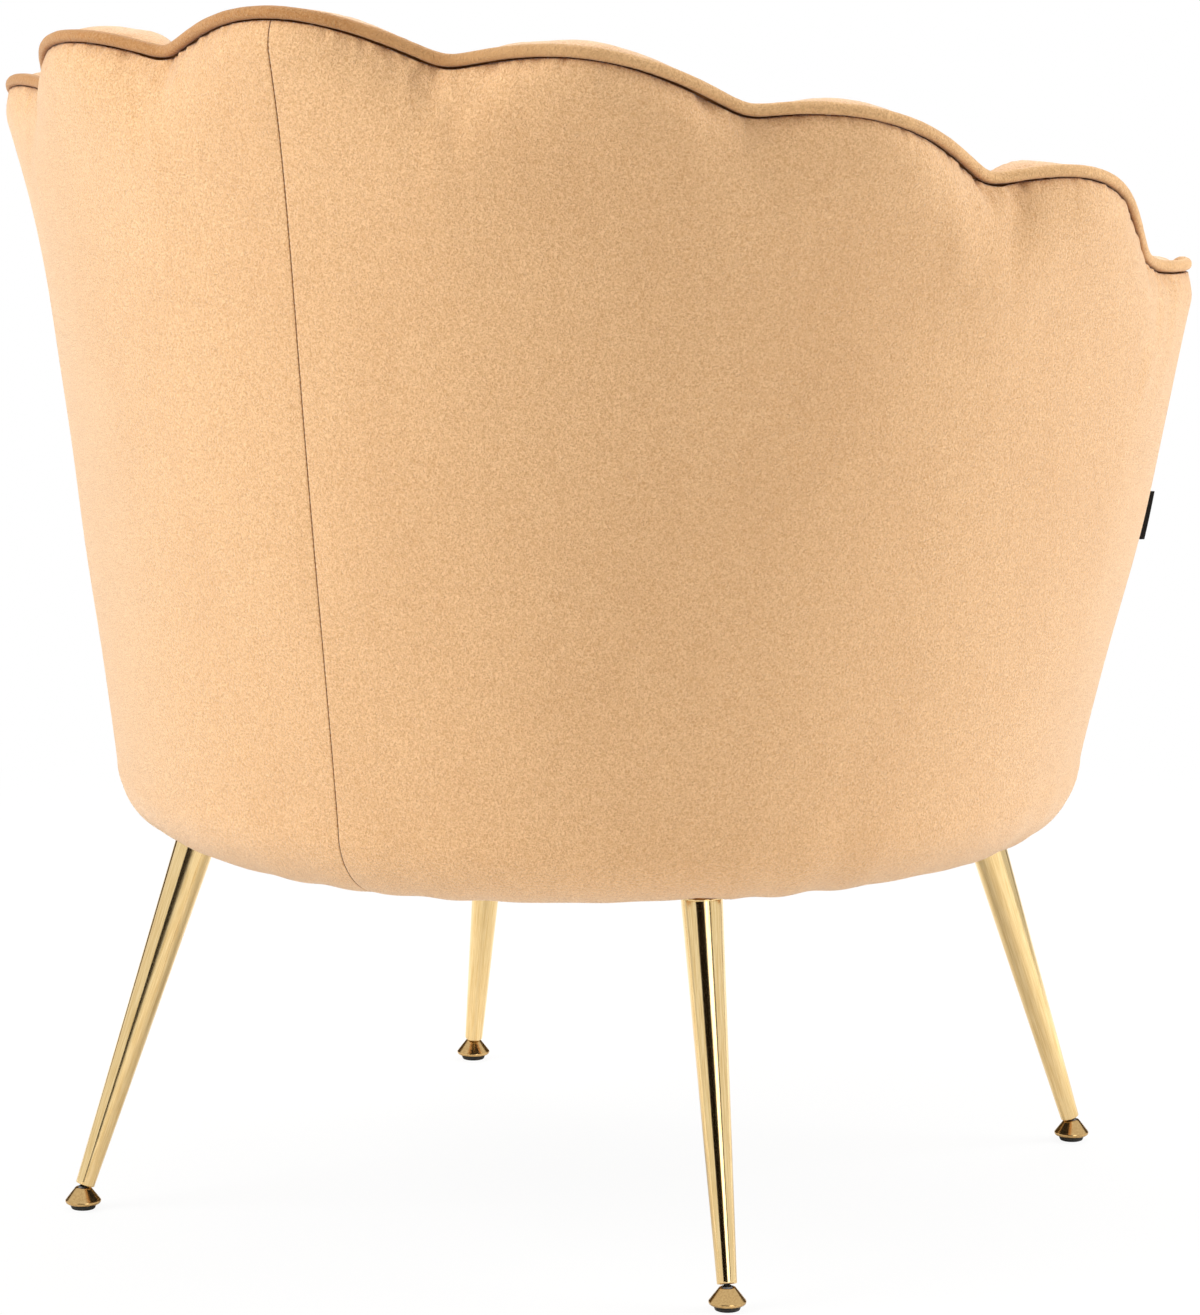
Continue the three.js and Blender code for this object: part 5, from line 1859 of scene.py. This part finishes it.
@dataclass
class LegSet:
    """Four splayed legs: a tapered tube welded to a plate, two countersunk screws, and a levelling glide.

    Its sizes are in millimetres, as in the profiles that are turned.
    """

    layout: LegLayout
    palette: Palette
    top_radius: float = 13.2
    end_radius: float = 6.2
    end_z: float = 15.9
    wall: float = 1.1
    lip: float = 0.5  # the rounding of the tube's cut end
    segments: int = 72
    corner_radius: float = 9.0
    plate_ease: float = 0.5
    weld_radius: float = 1.1
    screw_reach: float = 24.0  # from the tube's axis in towards the middle
    screw_spread: float = 18.0  # and to either side
    ball_radius: float = 4.2
    socket_radius: float = 4.5
    socket_z: float = 12.0
    neck_radius: float = 1.8

    def length(self, corner: Corner, z: float) -> float:
        """Finds how far along a leg's axis a height lies from the ball, both in millimetres."""
        return (z - self.layout.ball_z / MM) / self.layout.axis(corner).z

    def build_tube(self, corner: Corner) -> None:
        """Makes one tube with its plate and the weld between them.

        Args:
            corner: which leg.
        """
        layout, radius = self.layout, self.end_radius
        end, top = self.length(corner, self.end_z), self.length(corner, layout.top_z / MM)
        slope = (self.top_radius - radius) / (top - end)
        profile = [(0, end + 4), (radius - self.wall, end + 4), (radius - self.wall, end + self.lip / 2),
                   (radius - self.wall / 2, end), (radius - 0.15, end + 0.12),
                   (radius + self.lip * slope, end + self.lip)]
        heights = [*np.linspace(end + 2, top - 14, 20), *np.arange(top - 13, top + 6.5, 0.75)]
        profile += [(radius + slope * (height - end), height) for height in heights]
        profile.append((0, top + 6))
        piece = lathe(f"leg_{corner.word}_tube", profile, layout.ball(corner), layout.axis(corner), self.segments,
                      self.palette.brass[corner])
        points = vertices(piece)
        axis = np.array(layout.axis(corner))
        cut = layout.top_z - 1.2 * MM  # the tube ends level, inside the plate
        over = np.maximum(points[:, 2] - cut, 0) / axis[2]
        set_vertices(piece, points - axis * over[:, None])
        join(piece, [self.plate(corner), self.weld(corner)])
        place(piece, Body.CHAIR, Slot.GOLD, f"leg_{corner.word}")

    def plate(self, corner: Corner) -> Piece:
        """Makes one mounting plate with rounded corners and eased edges.

        Args:
            corner: which leg.

        Returns:
            The plate, to join to its tube.
        """
        layout = self.layout
        radius, ease, steps = self.corner_radius * MM, self.plate_ease * MM, 8
        half = layout.plate_width / 2
        centres = [(layout.plate_length - radius, half - radius, 0), (radius, half - radius, 90),
                   (radius, radius - half, 180), (layout.plate_length - radius, radius - half, 270)]
        outline = np.array([(cx + radius * math.cos(math.radians(start + 90 * i / steps)),
                             cy + radius * math.sin(math.radians(start + 90 * i / steps)))
                            for cx, cy, start in centres for i in range(steps + 1)])
        middle = outline.mean(axis=0)
        low, high = layout.top_z - layout.plate_thickness, layout.top_z
        rings = []
        for z, shrink in ((low, ease), (low + ease, 0), (high - ease, 0), (high, ease)):
            flat = outline + unit(middle - outline) * shrink
            rings.append(np.column_stack([flat, np.full(len(flat), z)]))
        grid = np.array(rings)
        world = np.array(layout.inward(corner)) * grid[..., :1] + np.array(layout.sideways(corner)) * grid[..., 1:2]
        world[..., 2] = grid[..., 2]
        world[..., :2] += np.array(layout.top(corner))[:2]
        return loft("plate", world, self.palette.brass[corner], smooth=False)

    def weld(self, corner: Corner) -> Piece:
        """Makes the weld bead between a tube and its plate.

        Args:
            corner: which leg.

        Returns:
            The bead, to join to the tube.
        """
        layout, axis = self.layout, self.layout.axis(corner)
        turn = np.linspace(0, 2 * math.pi, 96, endpoint=False)
        centre = np.array(layout.top(corner)) - np.array(axis) * (layout.plate_thickness / axis.z)
        centre[2] = layout.top_z - layout.plate_thickness - 0.3 * MM
        path = centre + self.top_radius * MM * np.stack([np.cos(turn), np.sin(turn), np.zeros_like(turn)], axis=1)
        path[:, 2] += 0.12 * MM * ripple(path, 4, 81)
        radius = np.full(len(path), self.weld_radius * MM)
        return sweep("weld", path, radius, unit(path - centre), 8, True, self.palette.brass[corner])

    def build_screws(self, corner: Corner) -> None:
        """Makes the two plate screws, countersunk and threaded.

        Args:
            corner: which leg.
        """
        layout = self.layout
        thread = [(2.0 if i % 2 else 1.6, 2.6 + 0.7 * i) for i in range(20)]
        profile = [(0, 1.1), (0.5, 1.0), (0.9, 0.2), (1.2, -0.15), (3.3, 0.0), (3.9, 0.25), (4.0, 0.45), (2.0, 2.1),
                   *thread, (1.0, 18.6), (0, 20)]
        for number, way in ((1, -1), (2, 1)):
            base = layout.top(corner) + layout.inward(corner) * self.screw_reach * MM
            base += layout.sideways(corner) * way * self.screw_spread * MM
            base.z = layout.top_z - layout.plate_thickness
            node = f"plate_screw_{corner.word}_{number}"
            piece = lathe(f"{node}_steel", profile, base, Vector((0, 0, 1)), 24, self.palette.zinc)
            place(piece, Body.CHAIR, Slot.ZINC, node)

    def build_glide(self, corner: Corner) -> None:
        """Makes one glide: the threaded stud with its ball, the cast cone and the rubber pad.

        Args:
            corner: which leg.
        """
        word, palette, centre = corner.word, self.palette, self.layout.ball(corner)
        shoulder = self.length(corner, self.end_z) - 0.3
        thread = [(3.0 if i % 2 else 2.55, shoulder + 1.2 + 0.5 * i) for i in range(37)]
        stud = [(0, -self.ball_radius), *arc_profile(self.ball_radius, 0, range(-88, 62, 8)), (self.neck_radius, 3.9),
                (self.neck_radius, shoulder + 0.5), *thread, (0, shoulder + 20)]
        piece = lathe(f"glide_stud_{word}_steel", stud, centre, self.layout.axis(corner), 32, palette.zinc)
        place(piece, f"glide_screw_{word}", Slot.ZINC, f"glide_stud_{word}")
        foot, up = Vector((centre.x, centre.y, 0)), Vector((0, 0, 1))
        cast = rounded([(6.0, 3.0), (8.8, 3.0), (11.2, 3.8), (11.9, 5.5), (7.7, 10.9), (5.1, 14.2), (4.4, 14.5),
                        (4.1, 14.2)], 1.3, 6)
        socket = arc_profile(self.socket_radius, self.socket_z, range(30, -52, -8))
        cone = [(0, 5.3), (3.3, 5.3), (3.3, 3.0), *cast, *socket, (0, self.socket_z - self.socket_radius)]
        piece = lathe(f"glide_cone_{word}_bronze", cone, foot, up, 64, palette.bronze)
        place(piece, f"glide_foot_{word}", Slot.BRONZE, f"glide_cone_{word}")
        pad = [(0, 0), *rounded([(5.6, 0), (7.6, 0), (8.6, 2.8), (3.0, 2.9)], 0.8, 4), (3.0, 5.0), (0, 5.0)]
        piece = lathe(f"glide_pad_{word}_rubber", pad, foot, up, 48, palette.rubber)
        place(piece, f"glide_foot_{word}", Slot.RUBBER, f"glide_pad_{word}")

    def build(self) -> None:
        """Makes the four legs with all that is on them."""
        for corner in Corner:
            self.build_tube(corner)
            self.build_screws(corner)
            self.build_glide(corner)


def join(piece: Piece, others: Sequence[Piece]) -> None:
    """Adds other pieces' meshes to a piece's own, with their materials, and removes the others.

    Args:
        piece: the piece that stays.
        others: the pieces that it takes up.
    """
    shape = bmesh.new()
    shape.from_mesh(piece.data)
    slots = piece.data.materials
    for other in others:
        finish = other.data.materials[0]
        if finish.name not in slots:
            slots.append(finish)
        other.data.polygons.foreach_set("material_index", [slots.find(finish.name)] * len(other.data.polygons))
        shape.from_mesh(other.data)
        bpy.data.objects.remove(other)
    shape.to_mesh(piece.data)
    shape.free()


def joined(name: str, pieces: Sequence[Piece]) -> Piece:
    """Makes one piece of many small ones that share a finish.

    Args:
        name: its name.
        pieces: the small ones.

    Returns:
        The piece.
    """
    first, *others = pieces
    join(first, others)
    first.name = first.data.name = name
    return first


@dataclass
class Underside:
    """The black dust cloth under the seat, stapled round its edge."""

    form: ShellForm
    layout: LegLayout
    palette: Palette
    radius: float = 243.3 * MM
    z: float = 246.1 * MM
    thickness: float = 0.8 * MM
    staple_pitch: float = 38 * MM
    staple_inset: float = 7 * MM
    staple: tuple[float, float, float] = (10 * MM, 1.2 * MM, 0.7 * MM)  # its length, width and depth
    plate_room: float = 46 * MM  # no staple lies nearer to a leg's top

    @property
    def count(self) -> int:
        """The number of staples that would go round the edge."""
        return round(2 * math.pi * self.radius / self.staple_pitch)

    def build_cloth(self) -> None:
        """Makes the cloth, pulled into small scallops by its staples."""
        turn = np.linspace(0, 2 * math.pi, 241)[:-1]
        rings = np.concatenate([np.linspace(0.02, 0.9, 40), np.linspace(0.91, 1, 12)])
        scallop = 0.0035 * np.abs(np.sin(turn * self.count / 2))
        grid = np.zeros((len(rings), len(turn), 3))
        for i, share in enumerate(rings):
            radius = self.radius * share * (1 - scallop * max(share - 0.9, 0) * 10)
            grid[i, :, 0], grid[i, :, 1] = radius * np.cos(turn), self.form.centre_y + radius * np.sin(turn)
        grid[..., 2] = self.z
        gather = np.sin(turn * self.count) * np.exp(-(1 - rings) / 0.05)[:, None] * 0.25 * MM
        sag = -2.2 * MM * np.clip(1 - (rings / 0.85) ** 2, 0, 1)[:, None] + ripple(grid, 120, 91) * 0.4 * MM
        grid[..., 2] += np.minimum(gather, 0) + np.where(rings[:, None] < 0.85, sag, 0)
        faces = grid_faces(*grid.shape[:2], wrap_columns=True) + [list(range(grid.shape[1]))]
        piece = make_object("dust_cloth_sheet", grid.reshape(-1, 3), faces, self.palette.dust_cloth)
        thicken(piece, self.thickness, 0)
        outward(piece)
        place(piece, Body.CHAIR, Slot.BLACK_CLOTH, "dust_cover")

    def build_staples(self) -> None:
        """Makes the staples as one piece, leaving out those that a leg plate covers."""
        reach = self.radius - self.staple_inset
        half, wide, deep = np.array(self.staple) / 2
        rings = np.array([[(-half, -wide), (half, -wide), (half, wide), (-half, wide)]] * 2)
        rings[0] *= 0.8  # the lower face, eased at its edges
        staples = []
        for i in range(self.count):
            turn = 2 * math.pi * (i + 0.5) / self.count
            out, along = np.array((math.cos(turn), math.sin(turn), 0)), np.array((-math.sin(turn), math.cos(turn), 0))
            centre = out * reach + np.array((0, self.form.centre_y, self.z - self.thickness / 2 - 0.2 * MM))
            gaps = [np.hypot(*(centre[:2] - np.array(self.layout.top(corner))[:2])) for corner in Corner]
            if min(gaps) < self.plate_room:
                continue
            grid = centre + along * rings[..., :1] + out * rings[..., 1:]
            grid[..., 2] += np.array((-deep, deep))[:, None]
            staples.append(loft(f"staple_{i}", grid, self.palette.zinc, smooth=False))
        place(joined("dust_cloth_staples", staples), Body.CHAIR, Slot.ZINC)

    def build(self) -> None:
        """Makes the cloth and its staples."""
        self.build_cloth()
        self.build_staples()


@dataclass
class SideTab:
    """A plain ribbon, folded double and sewn into the seam of the right arm's front."""

    form: ShellForm
    palette: Palette
    height: float = 31 * MM
    reach: float = 7 * MM
    middle: float = 445 * MM
    from_edge: float = 3 * MM
    ribbon: float = 0.5 * MM
    bow: float = 0.9 * MM

    def build(self) -> None:
        """Makes the tab as a folded strip with a slight bow and twist."""
        form = self.form
        u = np.array(-1 + math.degrees(self.from_edge / form.rim_radius) / form.front_at_rim)
        outer, inner = self.ribbon + 0.25 * MM, 0.12 * MM
        path = [(-outer, 0), (-outer, self.reach - outer), (-0.7 * outer, self.reach - 0.3 * outer), (0, self.reach),
                (0.7 * outer, self.reach - 0.3 * outer), (outer, self.reach - outer), (outer, 0),
                (inner, 0), (inner, self.reach - 1.6 * outer), (-inner, self.reach - 1.6 * outer), (-inner, 0)]
        rows = []
        for t in np.linspace(-1, 1, 22):
            z = np.array(self.middle + t * self.height / 2)
            base = form.point(u, z, -form.bulge(u, z) - 0.2 * MM)
            out = unit(base - np.array((0, form.centre_y, base[2])))
            side = np.array((out[1], -out[0], 0))
            bow = self.bow * (1 - t * t) + 0.4 * MM * t
            rows.append([base + out * r + side * (s + bow * (r / self.reach) ** 2) for s, r in path])
        piece = loft("side_tab_ribbon", np.array(rows), self.palette.ribbon, smooth=False)
        place(piece, Body.CHAIR, Slot.BLACK_CLOTH, "side_tab")


@dataclass
class HiddenFrame:
    """The frame inside the covers: its CAD solids stay, in their own woods and webbing."""

    palette: Palette

    def build(self) -> None:
        """Gives each carried-over node its material."""
        finishes = {
            "base_ring": self.palette.plywood,
            "upper_rail": self.palette.timber,
            "front_rail": self.palette.timber,
            "shell_board": self.palette.hardboard,
            "lobe_board": self.palette.hardboard,
        }
        for side in Side:
            finishes |= {f"back_post_{side.word}_{i}": self.palette.timber for i in range(1, 5)}
        finishes |= {f"web_{way}_{i}": self.palette.webbing for way in ("cross", "long") for i in (1, 2)}
        for node, material in finishes.items():
            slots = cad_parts[node].data.materials
            slots.clear()
            slots.append(material)
            log.info("%s: %s", node, material.name)


# Studio


@dataclass
class Studio:
    """A white floor and room, soft lamps, dark flags that only polished metal sees, and the camera."""

    focal_px: float = 5570.0
    frame_px: tuple[int, int] = (1200, 1315)
    sensor_mm: float = 36.0
    pitch: float = 9.22
    heading: float = 30.11
    height: float = 0.938
    distance: float = 3.625
    shift: float = 0.0072
    centre_y: float = 0.0
    feet_forward: float = 12 * MM
    lamp_aim_z: float = 0.42

    @property
    def aim_y(self) -> float:
        """The middle of the four feet, which the camera faces."""
        return self.centre_y + self.feet_forward

    def build_camera(self) -> None:
        """Puts the camera where the photograph was taken from."""
        turn, tilt = math.radians(self.heading), math.radians(self.pitch)
        level = Vector((math.sin(turn), -math.cos(turn), 0))
        right = Vector((-math.cos(turn), -math.sin(turn), 0))
        forward = level * math.cos(tilt) - Vector((0, 0, math.sin(tilt)))
        camera = bpy.data.objects.new("camera", bpy.data.cameras.new("camera"))
        bpy.context.scene.collection.objects.link(camera)
        camera.data.sensor_width = self.sensor_mm
        camera.data.lens = self.focal_px / max(self.frame_px) * self.sensor_mm
        camera.location = Vector((0, self.aim_y, self.height)) - level * self.distance + right * self.shift
        camera.rotation_mode = "QUATERNION"
        camera.rotation_quaternion = forward.to_track_quat("-Z", "Y")
        bpy.context.scene.camera = camera

    def build_lamp(self, name: str, azimuth: float, elevation: float, distance: float, size: float,
                   power: float) -> None:
        """Adds one soft lamp that faces the chair.

        Args:
            name: its name.
            azimuth: degrees round from the camera's side, to its right.
            elevation: degrees above the floor.
            distance: metres from the chair's middle.
            size: the lamp's width in metres.
            power: watts.
        """
        turn, rise = math.radians(self.heading + azimuth), math.radians(elevation)
        way = Vector((-math.sin(turn) * math.cos(rise), math.cos(turn) * math.cos(rise), math.sin(rise)))
        lamp = bpy.data.objects.new(name, bpy.data.lights.new(name, "AREA"))
        bpy.context.scene.collection.objects.link(lamp)
        lamp.data.shape = "DISK"
        lamp.data.size = size
        lamp.data.energy = power
        lamp.location = Vector((0, self.aim_y, self.lamp_aim_z)) + way * distance
        lamp.rotation_mode = "QUATERNION"
        lamp.rotation_quaternion = (-way).to_track_quat("-Z", "Y")
        lamp.visible_glossy = False

    def build_world(self) -> None:
        """Lights the room: white for the camera and for reflections, softer for the light that falls on things."""
        world = bpy.data.worlds.new("white_room")
        bpy.context.scene.world = world
        world.use_nodes = True
        tree = world.node_tree
        tree.nodes.clear()
        ray = add_node(tree, "ShaderNodeLightPath")
        seen = add_node(tree, "ShaderNodeMath", {
            0: ray.outputs["Is Camera Ray"], 1: ray.outputs["Is Glossy Ray"]}, operation="MAXIMUM")
        seen = add_node(tree, "ShaderNodeMath", {
            0: seen.outputs["Value"], 1: ray.outputs["Is Transmission Ray"]}, operation="MAXIMUM")
        strength = add_node(tree, "ShaderNodeMapRange", {
            "Value": seen.outputs["Value"], "To Min": 0.55, "To Max": 1.0})
        glow = add_node(tree, "ShaderNodeBackground", {
            "Color": linear("#FFFFFF"), "Strength": strength.outputs["Result"]})
        add_node(tree, "ShaderNodeOutputWorld", {"Surface": glow.outputs["Background"]})

    def build_floor(self) -> None:
        """Lays the pale floor, which keeps a faint shadow."""
        material, tree = new_material("painted_white_floor")
        ray = add_node(tree, "ShaderNodeLightPath")
        place = add_node(tree, "ShaderNodeTexCoord").outputs["Object"]
        away = add_node(tree, "ShaderNodeVectorMath", {0: place}, operation="LENGTH")
        share = add_node(tree, "ShaderNodeMapRange", {
            "Value": away.outputs["Value"], "From Min": 0.5, "From Max": 1.6, "To Min": 0.92, "To Max": 1.0})
        lit = add_node(tree, "ShaderNodeMath", {
            0: ray.outputs["Is Camera Ray"], 1: share.outputs["Result"]}, operation="MULTIPLY")
        paint = add_node(tree, "ShaderNodeBsdfDiffuse", {"Color": linear("#F4F4F2")})
        glow = add_node(tree, "ShaderNodeEmission", {"Color": linear("#FFFFFF"), "Strength": 1.0})
        mix = add_node(tree, "ShaderNodeMixShader", {
            "Fac": lit.outputs["Value"], 1: paint.outputs["BSDF"], 2: glow.outputs["Emission"]})
        add_node(tree, "ShaderNodeOutputMaterial", {"Surface": mix.outputs["Shader"]})
        reach = 12.0
        corners = np.array([(-reach, -reach, 0), (reach, -reach, 0), (reach, reach, 0), (-reach, reach, 0)])
        make_object("floor", corners, [[0, 1, 2, 3]], material, smooth=False)

    def build_flag(self, name: str, low: float, high: float, colour: str, strength: float) -> None:
        """Stands an upright curved card round the chair that only reflections see.

        Args:
            name: its name.
            low: the card's first edge, in degrees to the right of the camera.
            high: its other edge.
            colour: what it gives off.
            strength: how brightly.
        """
        material, tree = new_material(f"{name}_card")
        glow = add_node(tree, "ShaderNodeEmission", {"Color": linear(colour), "Strength": strength})
        add_node(tree, "ShaderNodeOutputMaterial", {"Surface": glow.outputs["Emission"]})
        distance, bottom, top = 4.6, 0.02, 3.4
        grid = np.zeros((2, 24, 3))
        turn = np.radians(self.heading + np.linspace(low, high, 24))
        grid[..., 0] = -np.sin(turn) * distance
        grid[..., 1] = np.cos(turn) * distance + self.aim_y
        grid[0, :, 2], grid[1, :, 2] = bottom, top
        card = make_object(name, grid.reshape(-1, 3), grid_faces(2, 24), material)
        for ray in ("camera", "diffuse", "transmission", "volume_scatter", "shadow"):
            setattr(card, f"visible_{ray}", False)

    def build(self) -> None:
        """Sets up the camera, the floor, the room and the lamps."""
        bpy.context.scene.view_settings.view_transform = "Standard"
        self.build_camera()
        self.build_world()
        self.build_floor()
        self.build_lamp("key", -72, 36, 3.2, 2.0, 72)
        self.build_lamp("fill", 95, 28, 3.2, 2.0, 75)
        self.build_lamp("front", 178, 45, 3.2, 2.2, 40)
        self.build_flag("flag_left", -36, 10, "#1A120A", 1.0)
        self.build_flag("strip", 14, 36, "#FFFFFF", 3.0)
        self.build_flag("flag_right", 39, 46, "#1A120A", 1.0)
        self.build_flag("flag_behind", 122, 238, "#8A734A", 0.4)


def main() -> None:
    """Makes the studio and every sub-assembly."""
    low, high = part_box("base_ring")
    centre_y = (low.y + high.y) / 2
    Studio(centre_y=centre_y).build()
    form = ShellForm(centre_y)
    layout = LegLayout(centre_y)
    palette = Palette.mixed(layout)
    for part in (OuterCover(form, layout, palette), RimPiping(form, palette), FrontBorder(form, layout, palette),
                 ChannelPads(form, palette), Seat(form, palette), LegSet(layout, palette),
                 Underside(form, layout, palette), SideTab(form, palette), HiddenFrame(palette)):
        log.info("building %s", type(part).__name__)
        part.build()


if __name__ == "__main__":
    main()
